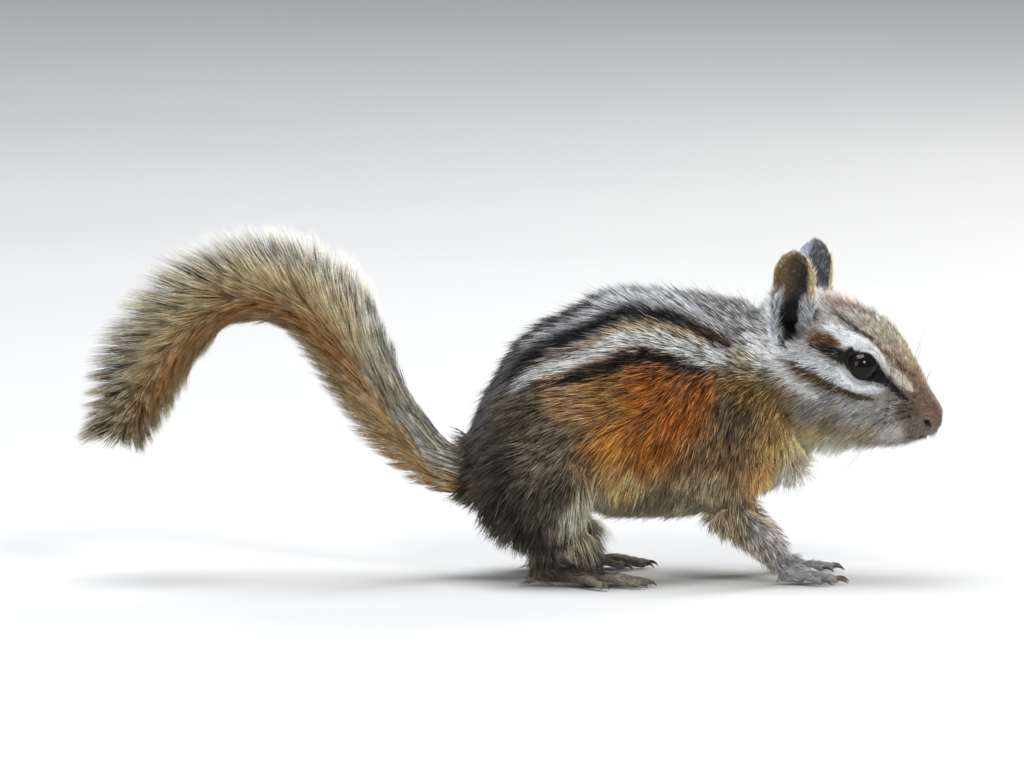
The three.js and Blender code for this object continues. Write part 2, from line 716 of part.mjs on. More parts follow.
function buildAnimal() {
  const animal = new THREE.Group();
  const hind = {
    upper: thigh,
    lower: shank,
    foot: hindFoot,
    footSize: 1,
    names: ["thigh", "shank", "hind_foot"],
  };
  const fore = {
    upper: upperArm,
    lower: forearm,
    foot: foreFoot,
    footSize: 0.88,
    names: ["upper_arm", "forearm", "fore_paw"],
  };
  const legs = [1, -1].flatMap((side) => [
    leg(side, side > 0 ? leftStep.hind : 0, hind),
    leg(side, side > 0 ? leftStep.fore : 0, fore),
  ]);
  for (const { meshes } of legs) animal.add(...meshes);
  animal.add(...buildTrunk(legs.flatMap(({ seats }) => seats)));

  const headGroup = new THREE.Group();
  headGroup.applyMatrix4(headFrame);
  for (const side of [1, -1]) {
    const suffix = side > 0 ? "left" : "right";
    const eyeball = piece(`eye_${suffix}`, solid(ball(eye.radius)), finishes.eye);
    eyeball.applyMatrix4(eyeFrame(side));
    const cup = solid(earForm(side)).subtract(solid(earHollow(side)));
    const earMesh = piece(`ear_${suffix}`, cup, finishes.fur);
    earMesh.applyMatrix4(earFrame(side));
    headGroup.add(eyeball, earMesh);
  }
  animal.add(headGroup, ...buildTail());
  return animal;
}

// The origin is the middle of the footprint, on the floor.
const animal = buildAnimal();
const box = new THREE.Box3().setFromObject(animal);
const middle = box.getCenter(new THREE.Vector3());
animal.position.set(-middle.x, -middle.y, -box.min.z);

export default animal;
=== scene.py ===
import math
import bpy
import numpy as np
from mathutils import Matrix, Vector
from mathutils.bvhtree import BVHTree
from mathutils.kdtree import KDTree


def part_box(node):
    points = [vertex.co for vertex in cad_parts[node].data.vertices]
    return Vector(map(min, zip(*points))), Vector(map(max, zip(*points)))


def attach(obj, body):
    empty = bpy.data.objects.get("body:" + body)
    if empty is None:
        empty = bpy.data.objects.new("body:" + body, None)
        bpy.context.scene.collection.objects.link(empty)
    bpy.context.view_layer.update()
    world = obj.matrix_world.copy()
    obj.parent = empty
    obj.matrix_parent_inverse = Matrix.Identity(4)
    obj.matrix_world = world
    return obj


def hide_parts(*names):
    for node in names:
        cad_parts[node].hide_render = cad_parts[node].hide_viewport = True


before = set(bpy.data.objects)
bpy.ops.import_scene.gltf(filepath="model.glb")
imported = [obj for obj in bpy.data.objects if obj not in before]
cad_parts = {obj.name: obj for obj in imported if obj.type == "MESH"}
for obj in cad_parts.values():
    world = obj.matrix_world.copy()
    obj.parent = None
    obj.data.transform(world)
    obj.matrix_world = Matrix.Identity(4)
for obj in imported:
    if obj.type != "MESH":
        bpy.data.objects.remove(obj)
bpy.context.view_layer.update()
mm = 0.001
random = np.random.default_rng(7)

# The animal's own measures in mm, as in the part: x forward from the middle of the trunk, y out to its left
# and z up. The angles are in degrees.
animal = {
    "headAt": (31.2, 0, 49.6), "headPitch": 24.4, "headYaw": -11,
    "neck": (20, 34),  # it turns the head over this stretch of x
    "eye": (20.2, 7.2, 3.7), "eyeRadius": 3.5, "eyeForward": 14, "eyeUp": 9, "eyeSlant": -9,
    "ear": (5.2, 8.9, 2), "earBack": 21, "earOut": 12, "earForward": 16,
}


def turn(axis, degrees):
    return np.array(Matrix.Rotation(math.radians(degrees), 3, axis))


def smooth(low, high, values):
    share = np.clip((values - low) / (high - low), 0, 1)
    return share * share * (3 - 2 * share)


def unit(vectors):
    return vectors / np.maximum(np.linalg.norm(vectors, axis=-1, keepdims=True), 1e-9)


def mixed(first, second, share):
    # each row has its own share, 0 for the first and 1 for the second
    share = share.reshape(-1, *[1] * (np.ndim(first) - 1))
    return first * (1 - share) + second * share


headTurn = turn("Y", animal["headPitch"])
headAt = np.array(animal["headAt"])


def onHead(point, side=0):
    # a point of the head's own frame, straightened for side 0, or turned as the head is for side -1 or 1
    local = headTurn @ (np.array(point) * ((1, side, 1) if side else (1, 1, 1)))
    return headAt + (turn("Z", animal["headYaw"]) @ local if side else local)


# The part is centred, so its shift comes from where an eye lies.
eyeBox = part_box("eye_right")
eyeMiddle = np.array((eyeBox[0] + eyeBox[1]) / 2) / mm
eyeInset = 0.05  # the box's middle lies this far ahead of the ball's centre
shift = np.array([eyeMiddle[0] - onHead(animal["eye"], -1)[0] - eyeInset, 0, 0])
print("shift", shift.round(2))


def headAngle(x):
    # how far the body is turned with the head there
    return math.radians(animal["headYaw"]) * smooth(*animal["neck"], x)


def swung(x, y, angle, origin=0):
    return origin + x * np.cos(angle) - y * np.sin(angle), x * np.sin(angle) + y * np.cos(angle)


def straighten(points):
    # undoes the turn of the head, so that both sides mirror each other
    x, y = swung(points[:, 0] - headAt[0], points[:, 1], -headAngle(points[:, 0]), headAt[0])
    return np.stack([x, y, points[:, 2]], 1)


def straightWays(points, ways, flip):
    # ways at those points, straightened and mirrored in the same manner
    x, y = swung(ways[:, 0], ways[:, 1], -headAngle(points[:, 0]))
    return np.stack([x, y * flip, ways[:, 2]], 1)


def turnBack(ways, x, flip):
    # ways given for the straightened left side, turned to where the points really lie
    return np.stack([*swung(ways[:, 0], ways[:, 1] * flip, headAngle(x)), ways[:, 2]], 1)


def mirroredLeft(points):
    # both sides are read from the same table, as if all lay on the left
    real = straighten(points)
    flip = np.where(real[:, 1] < 0, -1.0, 1.0)
    real[:, 1] *= flip
    return real, flip


def linked(name, data):
    made = bpy.data.objects.new(name, data)
    bpy.context.scene.collection.objects.link(made)
    return made


# Camera and light
view = {"wide": 209.9, "lens": 600, "aimX": -22.09, "aimZ": 39.8, "elevation": 6, "clipEnd": 50}


def buildCamera():
    lens = bpy.data.cameras.new("camera")
    lens.lens = view["lens"]
    lens.clip_end = view["clipEnd"]
    eyePoint = linked("camera", lens)
    away = view["wide"] * mm / lens.sensor_width * lens.lens
    tilt = math.radians(view["elevation"])
    aim = Vector((view["aimX"] + shift[0], 0, view["aimZ"])) * mm
    eyePoint.location = aim + away * Vector((0, -math.cos(tilt), math.sin(tilt)))
    eyePoint.rotation_euler = (math.pi / 2 - tilt, 0, 0)
    bpy.context.scene.camera = eyePoint
    bpy.context.scene.view_settings.view_transform = "Standard"


lamps = {
    "sky": {"at": (-0.2, 0.1, 1.3), "size": 1.1, "power": 24, "colour": (0.95, 0.97, 1)},
    "window": {"at": (0.5, -1.3, 1.0), "size": 0.5, "power": 15, "colour": (1, 0.98, 0.95)},
    "side": {"at": (-1.1, -0.9, 0.6), "size": 0.9, "power": 7, "colour": (0.96, 0.98, 1)},
    "rim": {"at": (0.8, 0.85, 0.5), "size": 0.5, "power": 11, "colour": (1, 0.97, 0.92)},
}
room = {"colour": (0.86, 0.9, 1, 1), "strength": 0.3, "aim": (0, 0, 0.03)}


def buildLight():
    world = bpy.data.worlds.new("studio")
    bpy.context.scene.world = world
    world.use_nodes = True
    world.node_tree.nodes["Background"].inputs["Color"].default_value = room["colour"]
    world.node_tree.nodes["Background"].inputs["Strength"].default_value = room["strength"]
    for name, lamp in lamps.items():
        light = bpy.data.lights.new(name, "AREA")
        light.shape = "DISK"
        light.size = lamp["size"]
        light.energy = lamp["power"]
        light.color = lamp["colour"]
        holder = linked(name, light)
        holder.location = lamp["at"]
        holder.rotation_euler = (Vector(room["aim"]) - Vector(lamp["at"])).to_track_quat("-Z", "Y").to_euler()


# Materials: each has a noise that is spread over two colours, and some have a bump of the same noise.
finishes = {
    "fur": {"noise": (900, 3), "range": (0.3, 0.7), "colours": [(0.82, 0.82, 0.82), (1.12, 1.12, 1.12)],
            "sockets": {"Roughness": 0.6, "Specular IOR Level": 0.22}},
    "skin": {"noise": (2600, 4), "range": (0.3, 0.7), "colours": [(0.7, 0.7, 0.7), (1.1, 1.1, 1.1)],
             "sockets": {"Roughness": 0.62, "Specular IOR Level": 0.25}, "bump": (0.00025, 0.7)},
    "claw": {"noise": (1800, 3), "range": (0.3, 0.75), "colours": [(0.022, 0.017, 0.014), (0.09, 0.07, 0.055)],
             "sockets": {"Roughness": 0.32}, "bump": (0.00004, 0.5)},
    "eyeball": {"noise": (3000, 3), "range": (0.35, 0.7), "colours": [(0.005, 0.003, 0.002), (0.011, 0.006, 0.004)],
                "sockets": {"Roughness": 0.05, "Specular IOR Level": 0.2}, "pupil": (0.003, 0.003, 0.003)},
    "floor": {"noise": (3, 3), "range": (0.3, 0.7), "colours": [(0.5, 0.5, 0.497), (0.54, 0.54, 0.536)],
              "sockets": {"Roughness": 0.75}},
}


class Wire:
    def __init__(self, socket):
        self.socket = socket


def wireInto(tree, socket, value):
    if isinstance(value, Wire):
        tree.links.new(value.socket, socket)
    elif hasattr(socket.default_value, "__len__") and len(socket.default_value) == 4 and len(value) == 3:
        socket.default_value = (*value, 1)
    else:
        socket.default_value = value


class Finish:
    def __init__(self, name):
        self.material = bpy.data.materials.new(name)
        self.material.use_nodes = True
        self.tree = self.material.node_tree

    def node(self, kind, settings, sockets, output=0):
        made = self.tree.nodes.new(kind)
        for key, value in settings.items():
            setattr(made, key, value)
        for key, value in sockets.items():
            wireInto(self.tree, made.inputs[key], value)
        return Wire(made.outputs[output])

    def noise(self, scale, detail):
        where = self.node("ShaderNodeTexCoord", {}, {}, "Object")
        return self.node("ShaderNodeTexNoise", {}, {"Vector": where, "Scale": scale, "Detail": detail})

    def spread(self, factor, low, high):
        return self.node("ShaderNodeMapRange", {}, {"Value": factor, "From Min": low, "From Max": high})

    def blend(self, factor, first, second, way="MIX"):
        settings = {"data_type": "RGBA", "blend_type": way}
        return self.node("ShaderNodeMix", settings, {0: factor, 6: first, 7: second}, 2)

    def attribute(self, name):
        return self.node("ShaderNodeAttribute", {"attribute_name": name}, {}, "Color")

    def bump(self, height, depth, strength):
        return self.node("ShaderNodeBump", {}, {"Strength": strength, "Distance": depth, "Height": height})

    def set(self, sockets):
        for name, value in sockets.items():
            wireInto(self.tree, self.tree.nodes["Principled BSDF"].inputs[name], value)


def makeFinish(name):
    plan, finish = finishes[name], Finish(name)
    grain = finish.noise(*plan["noise"])
    colour = finish.blend(finish.spread(grain, *plan["range"]), *plan["colours"])
    if name in ("fur", "skin"):
        colour = finish.blend(1.0, finish.attribute("coat"), colour, "MULTIPLY")
    if "pupil" in plan:
        colour = finish.blend(finish.attribute("iris"), plan["pupil"], colour)
    if "bump" in plan:
        finish.set({"Normal": finish.bump(grain, *plan["bump"])})
    finish.set({"Base Color": colour, **plan["sockets"]})
    return finish.material


floorPlan = {"size": 16, "at": (0, 0, -0.0002)}


def buildFloor():
    bpy.ops.object.select_all(action="DESELECT")
    bpy.ops.mesh.primitive_plane_add(size=floorPlan["size"], location=floorPlan["at"])
    floor = bpy.context.object
    floor.name = "floor"
    bpy.ops.object.transform_apply(location=True, rotation=False, scale=False)
    floor.data.materials.append(makeFinish("floor"))


def linear(colour):
    share = np.asarray(colour, float) / 255
    return np.where(share <= 0.04045, share / 12.92, ((share + 0.055) / 1.055) ** 2.4)


# Coat colours, each as the hair's root, its middle and its tip, with the share of dark and of pale hairs in it.
hairColours = {
    "silver": ((52, 50, 52), (128, 129, 132), (192, 195, 199), 0.28, 0.26),
    "greyBack": ((52, 50, 49), (112, 111, 110), (170, 171, 172), 0.26, 0.16),
    "rumpGrey": ((36, 35, 34), (78, 76, 75), (126, 126, 127), 0.28, 0.14),
    "nape": ((85, 80, 74), (138, 136, 131), (176, 178, 180), 0.12, 0.2),
    "napeWarm": ((78, 70, 56), (148, 139, 116), (192, 184, 160), 0.14, 0.2),
    "orange": ((84, 49, 20), (156, 92, 34), (190, 122, 52), 0.14, 0.06),
    "orangeBright": ((94, 53, 21), (164, 92, 32), (190, 117, 50), 0.1, 0.05),
    "orangeGold": ((92, 56, 24), (184, 122, 50), (212, 152, 74), 0.1, 0.06),
    "orangeRust": ((72, 43, 20), (142, 84, 34), (170, 108, 50), 0.16, 0.06),
    "orangePale": ((124, 92, 58), (222, 174, 114), (246, 210, 150), 0.05, 0.14),
    "flankDull": ((74, 52, 28), (132, 96, 50), (158, 124, 72), 0.14, 0.12),
    "flankPale": ((90, 67, 43), (160, 123, 84), (192, 157, 116), 0.14, 0.12),
    "haunch": ((36, 33, 27), (78, 72, 58), (120, 112, 92), 0.26, 0.18),
    "haunchPale": ((46, 43, 36), (102, 94, 79), (152, 143, 122), 0.22, 0.2),
    "haunchDark": ((26, 25, 20), (50, 47, 39), (76, 72, 58), 0.25, 0.12),
    "haunchEdge": ((24, 20, 13), (48, 41, 28), (76, 65, 45), 0.14, 0.1),
    "shankDark": ((18, 17, 15), (34, 31, 26), (54, 49, 41), 0.2, 0.12),
    "shankPale": ((130, 125, 104), (210, 206, 178), (246, 240, 216), 0.05, 0.2),
    "shoulder": ((42, 35, 25), (92, 79, 57), (136, 121, 92), 0.28, 0.16),
    "shoulderWarm": ((58, 45, 30), (124, 98, 66), (168, 142, 102), 0.26, 0.14),
    "ochreTick": ((64, 48, 25), (134, 103, 56), (178, 145, 88), 0.28, 0.1),
    "ochre": ((116, 86, 46), (190, 153, 94), (226, 194, 134), 0.08, 0.12),
    "chestRust": ((164, 108, 50), (244, 176, 86), (254, 214, 138), 0.02, 0.1),
    "shoulderLow": ((96, 84, 64), (158, 144, 114), (200, 186, 154), 0.12, 0.16),
    "belly": ((100, 92, 74), (162, 152, 126), (200, 190, 165), 0.04, 0.1),
    "bellyShade": ((84, 76, 58), (138, 124, 94), (174, 160, 130), 0.04, 0.1),
    "throatWhite": ((190, 180, 152), (240, 230, 206), (254, 249, 234), 0, 0.2),
    "foreleg": ((66, 60, 47), (118, 109, 91), (162, 154, 134), 0.16, 0.2),
    "forelegGrey": ((104, 104, 102), (176, 178, 179), (222, 225, 226), 0.16, 0.2),
    "forelegPale": ((120, 117, 112), (188, 187, 184), (230, 229, 226), 0.12, 0.2),
    "paw": ((84, 84, 86), (146, 147, 150), (200, 201, 205), 0.24, 0.24),
    "foot": ((22, 19, 15), (44, 39, 32), (74, 66, 54), 0.16, 0.18),
    "toe": ((62, 58, 50), (126, 120, 106), (186, 180, 165), 0.26, 0.26),
    "crown": ((86, 80, 72), (160, 156, 148), (212, 209, 202), 0.28, 0.28),
    "crownSide": ((92, 94, 96), (182, 184, 186), (232, 235, 238), 0.26, 0.26),
    "crownTop": ((90, 68, 54), (148, 124, 106), (188, 164, 145), 0.22, 0.16),
    "crownFront": ((84, 73, 59), (162, 152, 134), (214, 206, 190), 0.26, 0.26),
    "forehead": ((92, 76, 56), (166, 148, 122), (218, 202, 174), 0.22, 0.22),
    "bridge": ((58, 43, 32), (124, 100, 80), (178, 154, 132), 0.24, 0.22),
    "muzzle": ((52, 37, 29), (116, 91, 75), (172, 147, 128), 0.24, 0.24),
    "muzzleSide": ((34, 26, 20), (92, 75, 61), (152, 133, 115), 0.4, 0.24),
    "lip": ((62, 60, 56), (158, 156, 151), (224, 223, 220), 0.34, 0.3),
    "cheek": ((80, 78, 74), (168, 169, 166), (222, 223, 221), 0.3, 0.26),
    "cheekGrey": ((66, 65, 59), (132, 130, 122), (184, 182, 173), 0.26, 0.2),
    "chinShade": ((70, 64, 52), (122, 114, 96), (160, 150, 128), 0.1, 0.14),
    "chin": ((134, 128, 118), (204, 198, 188), (244, 240, 232), 0.14, 0.24),
    "chinWarm": ((92, 80, 62), (156, 139, 113), (204, 190, 165), 0.12, 0.2),
    "lipEdge": ((56, 48, 43), (108, 97, 90), (156, 144, 136), 0.24, 0.2),
    "throat": ((150, 122, 76), (240, 206, 142), (254, 234, 184), 0.02, 0.16),
    "earBase": ((124, 123, 120), (216, 219, 220), (248, 251, 253), 0.12, 0.2),
    "earInside": ((34, 28, 20), (78, 64, 45), (122, 104, 76), 0.2, 0.14),
    "earOchre": ((54, 42, 26), (120, 96, 61), (172, 145, 104), 0.18, 0.16),
    "earShade": ((20, 18, 16), (38, 35, 31), (66, 62, 56), 0.1, 0.08),
    "earFront": ((120, 98, 60), (196, 170, 122), (232, 216, 178), 0.02, 0.14),
    "earRim": ((128, 118, 98), (208, 198, 174), (244, 240, 228), 0, 0.2),
    "earRear": ((76, 80, 88), (152, 158, 168), (214, 219, 227), 0.14, 0.24),
    "earSlate": ((24, 24, 27), (60, 61, 66), (108, 110, 116), 0.2, 0.16),
    "earHoleShadow": ((4, 4, 4), (7, 7, 8), (14, 14, 16), 0, 0),
    "earTuft": ((66, 70, 76), (182, 188, 195), (240, 244, 248), 0.28, 0.28),
}
paleHair = (196, 190, 176)
coatGain = 1.25  # the hair shades itself, so its own colours are brighter than what is seen

# Places on the coat, with y as the distance out to either side: the point, how far it counts, the coat's depth,
# the hair's length, its lift from the skin in degrees, a tuft's width, tufts per mm2, the colours, and the way
# that the hair lies.
places = [
    (4, 2, 59, 9, 2.56, 5.3, 43, 0.115, 8.0, "silver", -1, 0.12, 0.1),
    (-12, 6, 54, 8, 3.5, 5.3, 32, 0.115, 8.0, "greyBack", -1, 0.1, -0.2),
    (-23.6, 7, 44, 6, 3, 4.8, 28, 0.115, 8.0, "rumpGrey", -0.75, 0.1, -0.65),
    (16, 8, 56, 7, 2.56, 4.8, 41, 0.115, 8.0, "greyBack", -1, 0.1, 0.15),
    (23, 9, 53, 6, 2.24, 4, 37, 0.115, 8.0, "nape", -0.95, 0.1, 0.2),
    (28, 3, 57, 6, 1.92, 3.5, 39, 0.115, 8.0, "nape", -1, 0, 0.1),
    (4, 19, 38.5, 7, 2.24, 5.1, 27, 0.115, 7.4, "orange", -0.85, 0, -0.3),
    (-4, 18.8, 38.5, 6, 2.24, 5.1, 27, 0.115, 7.4, "flankDull", -1, 0, -0.05),
    (12.3, 18.5, 32.2, 6.5, 2.24, 4.8, 27, 0.115, 7.4, "orangeBright", -0.5, 0, -0.85),
    (5, 17.7, 26, 6, 2.24, 4.8, 27, 0.115, 7.4, "orange", -0.35, 0, -0.93),
    (-3, 18.2, 28, 6, 2.24, 5, 27, 0.115, 7.4, "orangeGold", -0.6, 0, -0.75),
    (16, 18, 38.5, 4.5, 2.24, 4.8, 27, 0.115, 7.4, "orangeRust", -0.5, 0, -0.85),
    (7, 11.3, 16.4, 5, 2.24, 4.8, 27, 0.115, 6.4, "bellyShade", -0.15, 0, -1),
    (1, 13.2, 18, 5, 2.24, 5.6, 27, 0.115, 6.4, "orangePale", -0.1, 0, -1),
    (-12.3, 17.4, 38.3, 6, 2.24, 5.1, 27, 0.115, 7.4, "flankPale", -0.95, 0, -0.25),
    (-20.5, 14.7, 34, 6, 2.08, 5.1, 29, 0.115, 7.4, "haunch", -0.85, 0, -0.5),
    (-26.6, 16.3, 25.8, 6, 1.92, 5, 31, 0.115, 7.4, "haunchDark", -0.7, 0, -0.7),
    (-15.4, 19.3, 27.2, 7, 1.92, 5.1, 27, 0.115, 7.4, "haunchPale", -0.65, 0, -0.75),
    (-23.6, 19.2, 17, 6, 1.76, 4.8, 27, 0.115, 7.4, "haunchDark", -0.5, 0, -0.85),
    (-13.3, 21.2, 18, 6, 1.76, 4.8, 25, 0.115, 7.4, "haunch", -0.3, 0, -0.95),
    (-31.5, 6, 19, 4, 1.28, 4.4, 26, 0.115, 7.0, "haunchEdge", -0.7, 0, -0.7),
    (-27, 8, 12, 5, 1.6, 4, 29, 0.115, 6.4, "haunchEdge", -0.5, 0, -0.85),
    (-18.5, 19, 9.6, 4.5, 1.44, 3.7, 25, 0.115, 7.0, "shankDark", -0.1, 0, -1),
    (-9, 18.6, 14, 4.5, 1.7, 6.5, 19, 0.115, 7.0, "shankPale", 0.1, 0, -1),
    (-6.5, 15.8, 12, 4.5, 1.44, 7, 17, 0.115, 7.0, "shankPale", 0.12, 0, -1),
    (-2, 14.2, 19.4, 4, 1.92, 7.6, 29, 0.115, 6.4, "orangePale", 0, 0, -1),
    (22.8, 16.2, 34, 6.5, 2.08, 4.5, 29, 0.115, 7.7, "shoulder", -0.4, 0, -0.9),
    (16.8, 16.8, 28, 5, 2.08, 4.6, 27, 0.115, 7.4, "shoulderWarm", -0.35, 0, -0.93),
    (24, 16.1, 25.8, 6, 1.92, 4.3, 27, 0.115, 7.4, "shoulderWarm", -0.3, 0, -0.95),
    (33, 13.4, 34.2, 5, 1.92, 4, 31, 0.115, 7.7, "ochreTick", -0.5, 0, -0.85),
    (34.3, 11.4, 29, 4.2, 1.92, 3.8, 33, 0.115, 7.7, "ochre", -0.3, 0, -0.95),
    (36.8, 8.6, 25.2, 3.6, 1.92, 3.8, 36, 0.115, 8.0, "throat", -0.3, 0, -0.95),
    (29.6, 9, 19, 6.6, 2.3, 3.6, 30, 0.115, 7.0, "chestRust", -0.1, 0, -1),
    (17.4, 15.1, 17.5, 5, 1.7, 3.4, 22, 0.115, 7.0, "shoulderLow", -0.1, 0, -1),
    (18, 15, 12, 3, 1.7, 2.6, 14, 0.115, 7.0, "shoulderLow", 0.6, 0, -0.8),
    (14.4, 5.6, 13.4, 5, 2.08, 4, 27, 0.115, 5.8, "belly", -0.5, 0, -0.8),
    (26.7, 15.8, 14.4, 4, 0.5, 3.4, 28, 0.117, 6.0, "foreleg", 0.25, 0, -0.97),
    (31, 14.2, 10.8, 3.4, 0.4, 2.4, 27, 0.108, 7.2, "forelegGrey", 0.6, 0, -0.8),
    (36, 11.2, 7.6, 2.6, 0.5, 1.9, 24, 0.099, 7.5, "forelegPale", 0.6, 0, -0.8),
    (31.5, 9, 14.5, 4, 0.5, 3.2, 34, 0.108, 7, "throatWhite", 0.4, 0, -0.9),
    (37, 11, 3, 2.8, 0.3, 1.7, 24, 0.095, 13, "paw", 0.9, 0, -0.45),
    (41.5, 11.5, 2, 2.6, 0.16, 1.2, 26, 0.085, 14, "paw", 1, 0, -0.3),
    (-12.3, 16.5, 4.5, 4, 0.58, 2.4, 22, 0.108, 7.5, "foot", 0.9, 0, -0.45),
    (-5, 15.5, 3, 3.5, 0.25, 1.3, 18, 0.09, 9.4, "foot", 1, 0, -0.15),
    (2.5, 16.5, 2, 4, 0.14, 1.1, 24, 0.085, 13.0, "toe", 1, 0, -0.25),
    (27.3, 13, 46.1, 4.5, 1.92, 3.8, 33, 0.115, 8.0, "napeWarm", -0.85, 0, 0.35),
    (25.8, 15.1, 39.1, 5, 1.92, 4, 29, 0.115, 7.7, "ochreTick", -0.7, 0, -0.6),
    (39.1, 10.9, 34.7, 4, 1.15, 3, 30, 0.108, 7.5, "cheekGrey", -0.85, 0, -0.45),
    (44.8, 8.1, 31.4, 4, 1.01, 2.4, 30, 0.099, 8.1, "chinShade", -0.85, 0, -0.45),
    (50.7, 5.9, 29.9, 3.5, 0.79, 1.9, 32, 0.09, 8.8, "chinWarm", -0.85, 0, -0.4),
    (38.9, 4.2, 28.8, 4, 1.44, 5.4, 58, 0.115, 8.8, "throat", -0.5, 0, -0.8),
    (34.4, 4, 21, 5, 2.7, 4.6, 42, 0.115, 8.0, "throatWhite", -0.3, 0, -0.95),
    (43, 2, 28.2, 3.5, 1.01, 3.6, 56, 0.1, 8, "throatWhite", -0.5, 0, -0.8),
    (46, 1.5, 57.6, 4, 0.79, 2.8, 50, 0.09, 8.8, "crownTop", -0.95, 0, 0.2),
    (47, 5, 55.8, 3.5, 0.79, 2, 34, 0.09, 9.4, "crown", -0.95, 0.1, 0.25),
    (54.6, 4, 51.8, 3.5, 0.65, 2, 38, 0.086, 10.0, "crownFront", -0.85, 0.1, 0.5),
    (59.5, 2.5, 47, 3, 0.5, 1.7, 40, 0.08, 11.2, "forehead", -0.8, 0.1, 0.55),
    (62.4, 1.7, 42.4, 3, 0.29, 1.2, 38, 0.075, 12.5, "bridge", -0.75, 0.1, 0.65),
    (65.4, 1.4, 37.6, 2.2, 0.12, 0.75, 34, 0.068, 13.8, "muzzle", -0.75, 0.2, 0.6),
    (63.4, 3.6, 37, 2.2, 0.2, 0.95, 32, 0.07, 13.8, "muzzle", -0.9, 0.2, 0.3),
    (60, 5.3, 35.4, 2.6, 0.32, 1.2, 30, 0.08, 12.5, "muzzleSide", -0.95, 0.1, 0.1),
    (55.4, 6.7, 34, 3, 0.58, 1.8, 26, 0.09, 10.6, "lip", -0.95, 0, -0.2),
    (49.1, 8.6, 34.6, 3.5, 0.79, 2.4, 26, 0.1, 9.4, "cheek", -0.95, 0, -0.3),
    (43.8, 11.2, 38, 3.5, 0.94, 2.7, 26, 0.105, 8.8, "cheekGrey", -0.95, 0, -0.2),
    (56, 5.4, 30.4, 2.8, 0.5, 1.5, 38, 0.08, 10.6, "chin", -0.85, 0, -0.4),
    (61, 3.6, 32, 2.4, 0.22, 1, 40, 0.072, 11.2, "lipEdge", -0.8, 0, -0.5),
    (32.6, 11.3, 49, 3.5, 1.01, 2.8, 30, 0.108, 8.1, "earBase", -0.8, 0, 0.5),
    (29.6, 9, 54.5, 3.2, 1.5, 3.6, 36, 0.108, 7.5, "earBase", -0.85, 0, 0.4),
    (33, 6, 56.5, 3.5, 1.15, 3, 38, 0.108, 7.5, "earBase", -0.8, 0, 0.6),
    (39.5, 6, 57.5, 3, 0.79, 2.3, 34, 0.096, 8.8, "crownSide", -0.8, 0, 0.5),
    (42.5, 9.8, 52.5, 2.6, 0.65, 2, 30, 0.096, 9.4, "crownSide", -0.85, 0, 0.4),
    (51.8, 9.6, 42, 2.6, 0.43, 1.2, 26, 0.081, 11.2, "cheek", -0.95, 0, -0.25),
    (51.5, 8.2, 49.2, 2.6, 0.36, 1.1, 28, 0.081, 11.2, "crownFront", -0.9, 0, 0.35),
    (2, 4, 12, 8, 2.24, 4, 27, 0.115, 4.8, "belly", -0.95, 0, -0.2),
    (-14, 4, 11.5, 7, 2.08, 4, 27, 0.115, 4.8, "belly", -0.9, 0, -0.3),
    (-12, 9, 8, 4, 1.28, 3.2, 25, 0.115, 4.8, "belly", -0.2, 0, -1),
    (22, 6, 14.5, 5, 1.92, 3.7, 29, 0.115, 5.8, "belly", -0.6, 0, -0.7),
    (26, 8.6, 12, 3, 0.72, 3, 28, 0.117, 5.0, "belly", 0.3, 0, -0.95),
    (-27.5, 3, 33, 4, 1.6, 4.3, 22, 0.115, 7.4, "rumpGrey", -0.75, 0, -0.65),
]
placeBlend = {"shape": 0.15, "colour": 0.13}  # how softly one place goes over into the next
placeTable = np.array([[*row[:9], *row[10:]] for row in places], float)
placePoints, placeReach = placeTable[:, :3], placeTable[:, 3]
placeShape = np.column_stack([placeTable[:, 4:9], unit(placeTable[:, 9:12])])
placeColours = [hairColours[row[9]] for row in places]
placeHair = np.array([[*linear(colours[:3]).ravel(), *colours[3:]] for colours in placeColours])

